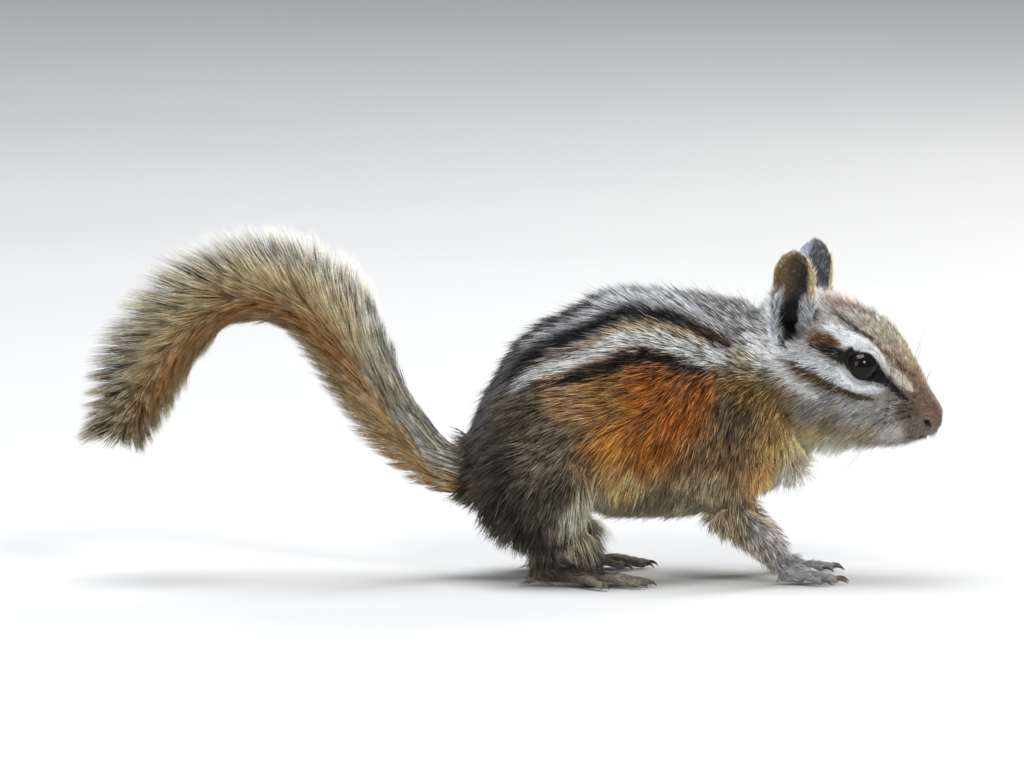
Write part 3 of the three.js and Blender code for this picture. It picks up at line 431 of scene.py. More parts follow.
# Markings, each with its colours for the middle and the tip of the hair, and a line of points on the coat with
# half its width there. They are laid on in this order.
markings = {
    "fringe": (((156, 130, 88), (198, 176, 134)), [
        (-8, 14.6, 49.6, 0.7), (-4.1, 14.1, 51.1, 0.9), (0, 13.1, 53.4, 1.1), (4.1, 13, 53.8, 1.1),
        (8.2, 13, 53.4, 1.1), (12.3, 13.5, 52.1, 1.1), (16.4, 13.8, 50.2, 0.9)]),
    "paleStripe": (((150, 151, 153), (222, 224, 227)), [
        (-22.1, 3.4, 48.6, 0.8), (-18.5, 6.4, 50.6, 0.9), (-14.4, 7.6, 53, 0.9), (-10.3, 7.8, 55, 1.2),
        (-6.2, 6.8, 56.9, 1.6), (-2, 6.2, 58, 1.9), (2, 5.5, 58.9, 2.1), (6.2, 5.7, 58.8, 2.1),
        (10.2, 6.2, 58.2, 2.1), (13.3, 7.4, 57.2, 2), (16, 9.1, 55.8, 1.8), (18.5, 10.2, 53.9, 1.3)]),
    "blackStripe": (((17, 16, 19), (30, 29, 34)), [
        (-23.6, 8.4, 42.8, 1.3), (-20.5, 9.6, 45.9, 1.6), (-16.4, 10.8, 48.9, 2), (-12.3, 11.5, 51, 2.2),
        (-8.2, 11.7, 52.8, 2), (-4.1, 11.2, 54.6, 2.1), (0, 10.4, 55.9, 2), (4.1, 10.5, 56, 2),
        (8.2, 10.9, 55.3, 1.9), (12.3, 11.3, 54.2, 1.7)]),
    "brownEnd": (((50, 34, 24), (86, 64, 46)), [
        (13.5, 11.6, 53.8, 1.6), (16.4, 12.4, 52.3, 1.8), (19.5, 12.4, 51, 1.6), (21.8, 12.2, 49.9, 0.9)]),
    "lowerStripe": (((30, 24, 19), (50, 40, 31)), [
        (-21.5, 12.7, 39.3, 0.6), (-16.4, 15.2, 41, 0.8), (-12.3, 16.5, 42.1, 1.1), (-8.2, 17.1, 43.6, 1.5),
        (-4.1, 17.5, 44.9, 1.7), (0, 17.1, 46.8, 1.8), (4.1, 16.9, 47.8, 1.7), (8.2, 16.9, 46.8, 1.7),
        (12.3, 16.8, 45.6, 1.5), (16, 16.6, 43.7, 0.8)]),
    "whiteStripe": (((208, 208, 201), (246, 248, 246)), [
        (-23, 11.2, 39.6, 0.7), (-20.5, 12.3, 41.8, 1.2), (-16.4, 13.9, 44, 1.4), (-12.3, 15.2, 45.6, 1.5),
        (-8.2, 15.5, 47.4, 1.6), (-4.1, 15.5, 49.1, 1.8), (0, 14.8, 51, 1.9), (4.1, 14.8, 51.1, 1.9),
        (8.2, 14.8, 50.6, 2.2), (12.3, 14.9, 49.5, 2.6), (16.4, 15.1, 47.7, 2.8), (19.5, 14.7, 47, 2)]),
    "midStripe": (((24, 22, 23), (44, 42, 43)), [
        (-28, 0, 37, 1.4), (-24, 1, 45, 2), (-18, 2.2, 51.5, 2.3), (-12, 2.4, 55, 2.3), (-6, 1.6, 57.6, 2),
        (0, 0, 59.6, 1.8), (12, 0, 59, 1.5), (20, 0, 57.8, 1)]),
    "crownStripe": (((58, 44, 33), (104, 84, 66)), [
        (44.8, 6.2, 56.2, 0.4), (47.5, 7.2, 54.4, 0.7), (50.5, 8, 52.1, 0.9), (53.1, 7.6, 50.5, 0.8)]),
    "crownFade": (((102, 80, 60), (146, 122, 98)), [
        (54.2, 7.2, 49.4, 0.7), (56.6, 6.1, 47.2, 0.7), (59.4, 4.8, 44.2, 0.6), (61.4, 3.4, 42.6, 0.3)]),
    "eyeBackRust": (((92, 60, 34), (138, 98, 60)), [
        (40.6, 11.6, 50.6, 0.9), (42.4, 11.2, 51, 1.3), (44.4, 10.7, 50.7, 1.4), (46.2, 10.3, 50.2, 1.1)]),
    "earOchre": (((112, 84, 48), (160, 128, 82)), [
        (42.2, 7.6, 56.6, 0.6), (41.2, 9.6, 54.6, 0.8), (40.8, 11, 52.4, 0.9)]),
    "eyeBack": (((13, 11, 9), (28, 24, 20)), [
        (41.8, 11.7, 49, 0.8), (43.6, 11.3, 48.6, 1.2), (45.6, 10.9, 47.8, 1.4), (48.2, 10.6, 46.4, 1.4)]),
    "eyeFront": (((18, 15, 12), (38, 32, 27)), [
        (54.6, 8, 43.2, 1.1), (56.8, 6.7, 40.8, 1), (58.8, 5.9, 38.9, 0.7), (60.3, 5.3, 37.6, 0.35)]),
    "cheekStripe": (((60, 45, 27), (106, 84, 54)), [
        (28.9, 8.6, 51.4, 0.7), (31.7, 11.3, 48, 0.9), (34.5, 12.3, 45.9, 1), (38, 12.9, 44.1, 1.1),
        (40.9, 12.7, 42.7, 1.1), (44.1, 11.9, 41.1, 1), (47.4, 10.6, 39.3, 0.9), (50.7, 9.3, 38.2, 0.7),
        (53.6, 7.9, 37.7, 0.4)]),
    "cheekPale": (((226, 227, 223), (252, 253, 252)), [
        (27, 10.4, 50.6, 1.8), (29.4, 11.5, 47.4, 2.2), (32.6, 12.2, 44.2, 2.2), (36, 12.9, 41.6, 1.6),
        (39.2, 12.5, 39.6, 1.3), (42.4, 11.6, 38, 0.8)]),
    "aboveEye": (((220, 222, 224), (250, 252, 254)), [
        (43.6, 8.9, 54, 0.7), (46, 9.3, 52.5, 1.5), (48.7, 9.5, 50.6, 1.9), (51.3, 9, 49.3, 1.8),
        (53.6, 8.2, 47.8, 1.5), (55.2, 7.7, 46.3, 1.1), (56, 7.3, 45, 0.7)]),
    "beforeEye": (((206, 198, 182), (238, 232, 220)), [
        (56.9, 6.7, 44.3, 0.8), (58.6, 5.8, 42.4, 1.1), (60.2, 4.9, 40.7, 0.9), (61.2, 4.5, 39.7, 0.4)]),
    "belowEye": (((220, 224, 228), (250, 253, 255)), [
        (31.2, 10.4, 52, 1.2), (33.2, 11.7, 48.9, 1.5), (36.9, 12.5, 46.9, 1.5), (40.9, 12.4, 45.9, 1.5),
        (44.1, 11.8, 44.2, 1.6), (47.5, 10.9, 42.1, 1.6), (50.8, 9.7, 40.5, 1.4), (53.6, 8.1, 39.7, 0.9),
        (55.4, 7.2, 39.4, 0.5)]),
}
markingPlan = {"edge": (0.7, 1.3), "root": 0.45, "plainer": 0.6, "nearby": 4, "flatness": 0.85}

lidPlan = {
    "long": 3.24, "high": 2.5, "low": 2.2, "narrower": 0.07, "outer": 76, "thick": 0.2, "grow": 0.4,
    "rim": 7, "corners": 12, "rimColour": (6, 5, 5), "thin": 0.06, "part": 1.25,
    # in mm from the eye's centre
    "rimReach": (4.9, 5.4), "thinReach": (3.9, 5), "shortReach": (4.2, 7.5), "partReach": (5, 9), "bareReach": 4.7,
}
eyeCentre = onHead(animal["eye"])
gazeAxes = turn("Z", -animal["eyeForward"]) @ turn("X", animal["eyeUp"] - 90)
# forward along the eye's slit, up across it and out of it, on the straightened left side
eyeAxes = (headTurn @ gazeAxes @ turn("Z", -animal["eyeSlant"])) * np.array([1, -1, 1])


def lidAngle(around):
    # how far the edge of the lids lies from the middle of the eye, in degrees, for each way round it
    high = np.where(np.sin(around) > 0, lidPlan["high"], lidPlan["low"])
    reach = 1 / np.sqrt((np.cos(around) / lidPlan["long"]) ** 2 + (np.sin(around) / high) ** 2)
    reach = reach * (1 - lidPlan["narrower"] * np.sin(2 * around) ** 2)
    return np.degrees(np.arcsin(reach / animal["eyeRadius"]))


def aroundEye(real):
    # place on the eye's own axes, distance from its centre, and degrees from its middle and out from the lids' edge
    own = (real - eyeCentre) @ eyeAxes
    gap = np.linalg.norm(own, axis=1)
    angle = np.degrees(np.arccos(np.clip(own[:, 2] / np.maximum(gap, 1e-6), -1, 1)))
    return own, gap, angle, angle - lidAngle(np.arctan2(own[:, 1], own[:, 0]))


def blendPlaces(points, table, softness):
    # the nearer a place is for its reach, the more it counts
    squares = (points ** 2).sum(1)[:, None] + (placePoints ** 2).sum(1) - 2 * points @ placePoints.T
    gap = np.sqrt(np.maximum(squares, 0)).astype(np.float32) / placeReach.astype(np.float32) + softness
    weights = 1 / (gap * gap)
    weights *= weights
    weights /= weights.sum(1, keepdims=True)
    return (weights @ table.astype(np.float32)).astype(float)


def nearLine(points, normals, line):
    # distance along the coat to a line of points, as a share of the line's half width
    line = np.array(line, float)
    nearest = np.full(len(points), 99.0)
    for start, end in zip(line[:-1], line[1:]):
        way = end[:3] - start[:3]
        share = np.clip((points - start[:3]) @ way / (way @ way), 0, 1)
        gap = points - start[:3] - share[:, None] * way
        gap = gap - normals * (gap * normals).sum(1, keepdims=True) * markingPlan["flatness"]
        nearest = np.minimum(nearest, np.linalg.norm(gap, axis=1) / (start[3] + share * (end[3] - start[3])))
    return nearest


def tint(coat, mask, colours):
    # one colour each for the hair's root, middle and tip
    for key, colour in zip(("root", "middle", "tip"), colours):
        coat[key] = mixed(coat[key], linear(colour), mask)


def coatAt(points, normals, outer=None):
    # What the coat is like at points of the skin, in mm. outer holds where each hair is seen, for its colours.
    real, flip = mirroredLeft(points)
    own = straightWays(points, normals, flip)
    shape = blendPlaces(real, placeShape, placeBlend["shape"])
    coat = {key: shape[:, i] for i, key in enumerate(("depth", "length", "lift", "wide", "dense"))}
    coat.update(lie=turnBack(shape[:, 5:], points[:, 0], flip), flip=flip, bare=np.zeros(len(points), bool))
    seen = None if outer is None else mirroredLeft(outer)[0]
    hair = np.zeros((len(points), 11)) if outer is None else blendPlaces(seen, placeHair, placeBlend["colour"])
    coat.update(root=hair[:, :3], middle=hair[:, 3:6], tip=hair[:, 6:9], dark=hair[:, 9], pale=hair[:, 10])
    if outer is not None:
        layMarkings(coat, seen, own)
    dressFeet(coat, real)
    dressFace(coat, real)
    dressEars(coat, real, own)
    dressEyes(coat, real, points)
    return coat


def layMarkings(coat, seen, normals):
    for (middle, tip), line in markings.values():
        box, nearby = np.array(line)[:, :3], markingPlan["nearby"]
        near = np.nonzero(((seen > box.min(0) - nearby) & (seen < box.max(0) + nearby)).all(1))[0]
        if len(near) == 0:
            continue
        mask = 1 - smooth(*markingPlan["edge"], nearLine(seen[near], normals[near], line))
        middle, tip = linear(middle), linear(tip)
        # a marking's roots are darker than its middle: the dark base of banded hair, and painted shade deep in the
        # coat
        for key, colour in (("root", middle * markingPlan["root"]), ("middle", middle), ("tip", tip)):
            coat[key][near] = mixed(coat[key][near], colour, mask)
        for key in ("dark", "pale"):
            coat[key][near] *= 1 - markingPlan["plainer"] * mask


toesBare = {"hind": (-9.5, -7, 9, 12), "fore": (37.5, 40), "under": 4, "out": 5,
            "most": {"depth": 0.1, "length": 1.0}}


def dressFeet(coat, real):
    # the toes are nearly bare
    heel, ball, tipFrom, tipTo = toesBare["hind"]
    hind = smooth(heel, ball, real[:, 0]) * (1 - smooth(tipFrom, tipTo, real[:, 0]))
    toes = (real[:, 2] < toesBare["under"]) * np.maximum(hind, smooth(*toesBare["fore"], real[:, 0]))
    toes = toes * (real[:, 1] > toesBare["out"])
    for key, most in toesBare["most"].items():
        coat[key] = mixed(coat[key], np.minimum(coat[key], most), toes)


facePlan = {
    "nostril": (36.9, -1.8), "nostrilSize": (0.9, 0.65), "nostrilTilt": 0.35, "nostrilDeep": 0.9,
    "mouth": [(39.2, -4.1), (37, -4.9), (34.6, -6.2), (32, -7.8), (29.6, -9.2)],
    "mouthDeep": 0.4, "mouthWide": 0.42,
    "noseFrom": (38.4, 39.8), "noseSlope": 0.45, "noseSet": 1.4, "noseLow": -4.6,
    "spot": (0.22, 0.5), "spotDark": 0.85,
}
faceColours = {
    "nose": ((62, 45, 38), (120, 95, 82), (166, 142, 128)),
    # painted shadow: the mouth's crease is painted dark brown
    "mouth": ((30, 22, 19), (58, 44, 38), (84, 66, 58)),
    # painted shadow: the nostril's opening is painted near black
    "nostril": ((10, 8, 8), (14, 11, 10), (24, 18, 16)),
}
# four rows on either side of the muzzle, given for the straightened head
whiskerPlan = {"from": (61.4, 38.4), "back": (-1.25, -0.3), "down": (-0.25, -1.4), "rows": 4, "inRow": 5,
               "long": (7, 21), "wide": 0.1, "bend": 16, "sink": 0.2, "lift": (26, 48), "shades": (0.5, 1.6)}
whiskerColours = ((44, 38, 32), (80, 70, 60), (128, 118, 106), (176, 168, 158))
whiskerSpots = [(row, place) for row in range(whiskerPlan["rows"]) for place in range(whiskerPlan["inRow"])]


def whiskerRoot(row, place):
    return [start + back * place + down * row for start, back, down in
            zip(whiskerPlan["from"], whiskerPlan["back"], whiskerPlan["down"])]


def faceMasks(real):
    # the bare tip of the nose, the mouth's line and the nostril
    local = (real - headAt) @ headTurn
    x, z = local[:, 0], local[:, 2]
    wide, high = facePlan["nostrilSize"]
    nx = x - facePlan["nostril"][0]
    nz = z - facePlan["nostril"][1] + nx * facePlan["nostrilTilt"]
    nostril = (1 - smooth(0.6, 1.2, np.hypot(nx / wide, nz / high))) * smooth(0.35, 0.8, local[:, 1])
    mouth = np.zeros(len(real))
    for (ax, az), (bx, bz) in zip(facePlan["mouth"][:-1], facePlan["mouth"][1:]):
        along = (x - ax) * (bx - ax) + (z - az) * (bz - az)
        share = np.clip(along / ((bx - ax) ** 2 + (bz - az) ** 2), 0, 1)
        gap = np.hypot(x - ax - share * (bx - ax), z - az - share * (bz - az))
        mouth = np.maximum(mouth, 1 - smooth(0.3, 1, gap / facePlan["mouthWide"]))
    mouth *= 0.3 + 0.7 * smooth(33.5, 36.5, x)  # it fades towards its corner
    nose = smooth(*facePlan["noseFrom"], x + facePlan["noseSlope"] * z + facePlan["noseSet"])
    return {"nose": nose * (z > facePlan["noseLow"]), "mouth": mouth, "nostril": nostril}


def dressFace(coat, real):
    masks = faceMasks(real)
    for name, mask in masks.items():
        tint(coat, mask, faceColours[name])
    spots = np.zeros(len(real))
    for row, place in whiskerSpots:
        x, z = whiskerRoot(row, place)
        spots = np.maximum(spots, 1 - smooth(*facePlan["spot"], np.hypot(real[:, 0] - x, real[:, 2] - z)))
    tint(coat, facePlan["spotDark"] * spots, [(0, 0, 0)] * 3)
    coat["length"] = coat["length"] * (1 - 0.35 * masks["nose"]) * (1 - 0.4 * masks["mouth"])
    coat["bare"] = np.maximum(coat["bare"], masks["nostril"] > 0.3)


earPlan = {
    "hair": {"depth": -0.05, "length": 0.9, "lift": 18, "wide": 0.075, "dense": 18},
    # the pit below the ear's own hollow, as a line of points with half its width
    "pit": [(36.9, 9.8, 56.5, 1.2), (36.5, 10.8, 54, 1.8), (35.9, 11, 51.4, 1.8), (35.6, 11, 49, 1.3)],
    "pitDeep": 1.1, "pitShadowColour": (6, 6, 7), "pitEdge": (0.75, 1.15), "pitRound": (1, 2.4), "pitOut": (-0.2, 0.1),
    # how far the ear goes, and where each of its parts fades in or out: Up for its height, Out for its width
    "height": (0.5, 23), "thick": 4.6, "rootUp": (1.2, 3.6), "rootOut": (1.5, 3), "edgeOut": (4.3, 5.3),
    "inside": (0.16, 0.5), "outside": (-0.35, 0.05), "rimUp": (3, 8), "rearOut": (-0.6, 1),
    "leanSet": 0.5, "leanUp": 0.12, "middle": 0.4, "holeUp": (8.4, 10.2), "holeOut": (1.5, 2.3),
    "shadeUp": (6, 9), "shadeTop": (14, 18), "shadeOut": (-0.4, 1.6), "shadeEnd": (2.6, 3.6),
    "frontUp": (7, 10), "frontOut": (2.7, 3.7), "ochreUp": (7, 11), "ochreOut": (0.7, 2.2),
    "rearTuftUp": (8.5, 13), "rearTuftOut": (1.2, 2.4), "frontTuftUp": (7, 10.5), "frontTuftOut": (1.5, 2.6),
    "tipUp": (13.5, 17.5), "tipDepth": 0.12, "tuftLean": 0.16,
}
earAxes = headTurn @ turn("Y", -animal["earBack"]) @ turn("X", -animal["earOut"]) @ turn("Z", -animal["earForward"])
earFoot = onHead(animal["ear"])


def pitGap(real, normals):
    # distance from the ear's pit as seen from the side, only on skin that faces outwards
    inwards = 1 - smooth(*earPlan["pitOut"], normals[:, 1])
    return nearLine(real, np.array([0.0, 1, 0]), earPlan["pit"]) + 9 * inwards


def dressEars(coat, real, normals):
    own = (real - earFoot) @ earAxes  # forward along the ear's width, out through its mouth, and up its height
    facing = normals @ earAxes[:, 1]
    ahead, up = own[:, 0], own[:, 2]

    def fade(name, values):
        return smooth(*earPlan[name], values)

    bottom, top = earPlan["height"]
    onEar = (up > bottom) & (up < top) & (np.abs(own[:, 1]) < earPlan["thick"])
    onEar = onEar * (1 - fade("edgeOut", np.abs(ahead))) * (1 - smooth(0, 4, 4 - up) * fade("rootOut", ahead))
    share = onEar * fade("rootUp", up)
    inside = share * fade("inside", facing)
    outside = share * (1 - fade("outside", facing))
    rim = share * np.clip(1 - inside - outside, 0, 1) * fade("rimUp", up)
    front = np.clip(inside + rim, 0, 1)
    lean = ahead + earPlan["leanSet"] - earPlan["leanUp"] * (up - 6)  # the hollow leans with the ear
    # painted shadow: the ear's hollow is painted near black
    hole = np.clip(inside + 0.6 * rim, 0, 1) * (1 - fade("holeUp", up))
    hole = hole * (1 - fade("holeOut", np.abs(lean + earPlan["middle"])))
    shade = inside * fade("shadeUp", up) * (1 - fade("shadeTop", up)) * fade("shadeOut", lean)
    frontRim = front * fade("frontOut", ahead) * fade("frontUp", up)
    rearTuft = front * fade("rearTuftOut", -lean) * (1 - fade("rearTuftUp", up))
    tuft = np.maximum(rearTuft, front * fade("frontTuftOut", lean) * (1 - fade("frontTuftUp", up)))
    masks = {
        "earSlate": outside, "earRear": outside * fade("rearOut", -ahead), "earInside": inside,
        "earOchre": inside * fade("ochreUp", up) * fade("ochreOut", -lean),
        "earShade": shade * (1 - fade("shadeEnd", ahead)), "earRim": rim, "earFront": frontRim, "earTuft": tuft,
        "earHoleShadow": hole,
    }
    for name, mask in masks.items():
        tint(coat, mask, hairColours[name][:3])
        coat["dark"] = mixed(coat["dark"], hairColours[name][3], mask)
    gap = pitGap(real, normals)
    pit, aroundPit = 1 - fade("pitEdge", gap), 1 - fade("pitRound", gap)
    # painted shadow: the carved pit is painted near black
    tint(coat, pit, [earPlan["pitShadowColour"]] * 3)
    coat["bare"] = np.maximum(coat["bare"], pit > 0.35)
    whole = np.clip(inside + outside + rim, 0, 1)
    for key, value in earPlan["hair"].items():
        coat[key] = mixed(coat[key], value, whole)
    coat["depth"] = coat["depth"] + earPlan["tipDepth"] * share * fade("tipUp", up)
    coat["length"] = coat["length"] + 0.4 * rim * (1 - smooth(15, 19, up)) + 1.6 * tuft + 0.4 * frontRim
    coat["lift"] = coat["lift"] + 5 * tuft + 16 * rim
    coat["wide"] = coat["wide"] + 0.012 * tuft
    coat["dense"] = coat["dense"] * (1 - 0.85 * hole)
    inwards = (-np.sign(lean + earPlan["middle"]) * earPlan["tuftLean"] * tuft)[:, None]  # tufts cross the hollow
    upward = np.tile(earAxes[:, 2], (len(real), 1)) + earAxes[:, 0] * inwards
    upward = turnBack(upward, np.full(len(real), 40.0), coat["flip"])  # the ear has the head's full turn
    coat["lie"] = mixed(coat["lie"], upward, np.maximum(whole, 0.8 * aroundPit))
    coat["length"] = coat["length"] * (1 - 0.5 * aroundPit)
    coat["onEar"] = whole


def dressEyes(coat, real, points):
    own, gap, _, share = aroundEye(real)
    near, close = 1 - smooth(*lidPlan["thinReach"], gap), 1 - smooth(*lidPlan["shortReach"], gap)
    corner = np.abs(own[:, 0]) / np.maximum(np.hypot(own[:, 0], own[:, 1]), 1e-6)
    reach = lidPlan["rim"] + lidPlan["corners"] * corner ** 4  # the dark rim is wider at both corners
    rim = (1 - smooth(reach, reach + 3, share)) * (1 - smooth(*lidPlan["rimReach"], gap))
    coat["depth"] = mixed(coat["depth"], lidPlan["thin"], near)
    coat["length"] = coat["length"] * (1 - 0.35 * close)
    coat["lift"] = coat["lift"] * (1 - 0.45 * close)
    coat["dense"] = coat["dense"] * (1 + 0.9 * close)
    tint(coat, rim, [lidPlan["rimColour"]] * 3)
    # hair parts around the eye instead of running over it
    outward = turnBack(unit(real - eyeCentre), points[:, 0], coat["flip"])
    into = np.minimum((coat["lie"] * outward).sum(1), 0) * (1 - smooth(*lidPlan["partReach"], gap))
    coat["lie"] = coat["lie"] - outward * (into * lidPlan["part"])[:, None]
    coat["bare"] = np.maximum(coat["bare"], (share < lidPlan["rim"] - 1.5) & (gap < lidPlan["bareReach"]))


# Skin
def floatsOf(rows, name):
    values = np.zeros(len(rows) * 3, np.float32)
    rows.foreach_get(name, values)
    return values.reshape(-1, 3).astype(float)


def pointsOf(thing):
    return floatsOf(thing.data.vertices, "co") / mm - shift


def normalsOf(thing):
    return floatsOf(thing.data.vertex_normals, "vector")


def movePoints(thing, points):
    thing.data.vertices.foreach_set("co", ((points + shift) * mm).ravel())
    thing.data.update()


def paintPoints(mesh, name, colours):
    rows = np.column_stack([colours, np.ones(len(colours))]).astype(np.float32)
    mesh.color_attributes.new(name, "FLOAT_COLOR", "POINT").data.foreach_set("color", rows.ravel())


def triangleCount(thing):
    return sum(len(p.vertices) - 2 for p in thing.data.polygons)


def selectOnly(things):
    bpy.ops.object.select_all(action="DESELECT")
    for thing in things:
        thing.select_set(True)
    bpy.context.view_layer.objects.active = things[0]


def joinAll(things):
    selectOnly(things)
    bpy.ops.object.join()
    return things[0]


def applyModifier(thing, kind, **settings):
    selectOnly([thing])
    modifier = thing.modifiers.new(kind.lower(), kind)
    for key, value in settings.items():
        setattr(modifier, key, value)
    bpy.ops.object.modifier_apply(modifier=modifier.name)


def editWhole(thing, operator, **settings):
    selectOnly([thing])
    bpy.ops.object.mode_set(mode="EDIT")
    bpy.ops.mesh.select_all(action="SELECT")
    operator(**settings)
    bpy.ops.object.mode_set(mode="OBJECT")


def tube(name, points, radii):
    # a round tube along a line of points, as a mesh
    curve = bpy.data.curves.new(name, "CURVE")
    curve.dimensions = "3D"
    curve.bevel_depth = mm
    curve.bevel_resolution = 3
    curve.use_fill_caps = True
    spline = curve.splines.new("POLY")
    spline.points.add(len(points) - 1)
    for point, at, radius in zip(spline.points, points, radii):
        point.co = (*((np.array(at) + shift) * mm), 1)
        point.radius = radius
    selectOnly([linked(name, curve)])
    bpy.ops.object.convert(target="MESH")
    return bpy.context.object


tailPlan = {
    "midline": [(-27.5, 20.2), (-36.2, 23.4), (-42.6, 30), (-48, 38), (-53.4, 46.8), (-59, 54), (-65.8, 58.8),
                (-73.4, 60.6), (-81, 59.4), (-88.2, 54.8), (-94.2, 47.6), (-98.9, 39.4), (-102.2, 31.6),
                (-104.4, 24)],
    "bone": [4.6, 4.2, 3.4, 2.9, 2.7, 2.5, 2.4, 2.3, 2.2, 2.1, 1.9, 1.7, 1.4, 0.9],
    # how far the bone lies to the inside of the arch, and how far the hair reaches into the arch and out of it
    "sink": [0, 0, 0.4, 1.2, 1.8, 2.2, 2.5, 2.6, 2.6, 2.4, 2, 1.5, 0.8, 0],
    "inner": [7, 8.8, 9.4, 10.8, 11.6, 11.3, 10.8, 11, 10.6, 10, 9.8, 9.8, 9.4, 7.5],
    "outer": [5, 4.6, 4.2, 4.8, 7.6, 10.2, 11.8, 12, 12.6, 13.4, 14.2, 14, 12.4, 8],
    "boneStop": 10, "boneParts": 70, "step": 0.8,
}


def smoothRow(rows, parts=16):
    rows = np.array(rows, float)
    padded = np.vstack([2 * rows[0] - rows[1], rows, 2 * rows[-1] - rows[-2]])
    out = []
    for i in range(len(rows) - 1):
        a, b, c, d = padded[i:i + 4]
        for t in np.arange(parts) / parts:
            square, cube = (2 * a - 5 * b + 4 * c - d), (3 * b - 3 * c + d - a)
            out.append(0.5 * (2 * b + (c - a) * t + square * t * t + cube * t ** 3))
    out.append(rows[-1])
    return np.array(out)


tailRows = smoothRow(np.column_stack([tailPlan[key] for key in ("midline", "bone", "sink", "inner", "outer")]))
tailLong = np.concatenate([[0], np.cumsum(np.linalg.norm(np.diff(tailRows[:, :2], axis=0), axis=1))])


def tailRow(distance, columns):
    return np.stack([np.interp(distance, tailLong, tailRows[:, i]) for i in columns], 1)


def tailAt(distance):
    # centre of the bone, way along it, way up out of the arch and radius of the bone
    row = tailRow(distance, range(4))
    ahead = tailRow(distance + tailPlan["step"], (0, 1)) - tailRow(distance - tailPlan["step"], (0, 1))
    none = np.zeros(len(row))
    along = unit(np.stack([ahead[:, 0], none, ahead[:, 1]], 1))
    up = np.stack([along[:, 2], none, -along[:, 0]], 1)
    centre = np.stack([row[:, 0], none, row[:, 1]], 1) - up * row[:, 3:4]
    return centre, along, up, row[:, 2]


def tailTube():
    tail = tailAt(np.linspace(0, tailLong[-1] - tailPlan["boneStop"], tailPlan["boneParts"]))
    return tube("tailBone", tail[0], tail[3])


# Feet, in mm: toes start on the ball of the foot, run in the way of their splay and bend at two knuckles.
feet = {
    "hind": {"heel": (-20.5, -14.4), "turnOut": 7, "step": 0.5, "size": 1, "toes": [
        ((13, 3), 8.2, 16), ((15.6, 1.9), 10, 5), ((16.2, 0.1), 10.6, -2), ((15.6, -1.8), 9.8, -10),
        ((12, -2.8), 8, -38)]},
    "fore": {"heel": (31.8, -10.9), "turnOut": 4, "step": -0.5, "size": 0.88, "toes": [
        ((4.6, 2.2), 6.4, 22), ((5.6, 0.9), 7.4, 8), ((5.6, -0.8), 7.4, -6), ((4.4, -2.1), 6.2, -24)]},
}
toePlan = {
    "along": [-0.16, 0, 0.16, 0.34, 0.46, 0.6, 0.74, 0.84, 0.94, 1.0],
    "high": [1.5, 1.6, 1.75, 1.85, 1.8, 1.5, 1.2, 1.05, 0.85, 0.8],
    "thick": [1.05, 1.05, 0.92, 0.96, 1.06, 0.88, 0.86, 0.96, 0.84, 0.5],
    "reach": 2.4, "stump": 0.8,
}
clawPlan = {
    "from": -0.9, "out": {"hind": 1.5, "fore": 2.1}, "thick": 0.38,
    "along": [0, 0.36, 0.6, 0.8, 0.93, 1],
    "high": [0.95, 1.12, 1.02, 0.74, 0.42, 0.22],
    "taper": [1, 1, 0.86, 0.62, 0.34, 0.12],
}


def onFoot(foot, side, toe, distance):
    # a place along a toe, seen from above
    (x, y), way = toe[0], math.radians(toe[2])
    x, y = x + math.cos(way) * distance, y + math.sin(way) * distance
    angle = math.radians(-foot["turnOut"])
    x, y = x * math.cos(angle) - y * math.sin(angle), x * math.sin(angle) + y * math.cos(angle)
    x, y = x + foot["heel"][0], y + foot["heel"][1]
    return (x, y) if side < 0 else (x + foot["step"], -y)


def toeTube(name, foot, side, toe, distances, highs, radii):
    points = [(*onFoot(foot, side, toe, distance), high) for distance, high in zip(distances, highs)]
    return tube(name, points, radii)


def toeTubes(foot, side):
    highs, radii = ([value * foot["size"] for value in toePlan[key]] for key in ("high", "thick"))
    return [toeTube("toe", foot, side, toe, [share * toe[1] for share in toePlan["along"]], highs, radii)
            for toe in foot["toes"]]


def shortenToes(paw, foot, side):
    # the plain toes are drawn back into the ball of the foot, where the finer ones start
    points = pointsOf(paw)
    reach, nearest = np.full(len(points), toePlan["reach"]), np.full(len(points), -1)
    along = np.zeros(len(points))
    ways = []
    for number, toe in enumerate(foot["toes"]):
        root, tip = np.array(onFoot(foot, side, toe, 0)), np.array(onFoot(foot, side, toe, toe[1]))
        way = (tip - root) / toe[1]
        ways.append(way)
        distance = (points[:, :2] - root) @ way
        sideways = np.abs((points[:, 0] - root[0]) * way[1] - (points[:, 1] - root[1]) * way[0])
        closer = (sideways < reach) & (distance > toePlan["stump"])
        reach[closer], nearest[closer], along[closer] = sideways[closer], number, distance[closer]
    for number, way in enumerate(ways):
        own = nearest == number
        points[own, :2] -= way * (along[own, None] - toePlan["stump"])
    movePoints(paw, points)


def buildClaws():
    finish = makeFinish("claw")
    for kind, foot in feet.items():
        long = clawPlan["out"][kind] - clawPlan["from"]
        radii = [clawPlan["thick"] * share for share in clawPlan["taper"]]
        for side, name in ((-1, "right"), (1, "left")):
            claws = []
            for toe in foot["toes"]:
                distances = [toe[1] + clawPlan["from"] + share * long for share in clawPlan["along"]]
                claws.append(toeTube("claw", foot, side, toe, distances, clawPlan["high"], radii))
            paw = joinAll(claws)
            paw.name = f"claws_{kind}_{name}"
            paw.data.materials.clear()
            paw.data.materials.append(finish)
            paw.data.shade_smooth()
            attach(paw, "root")


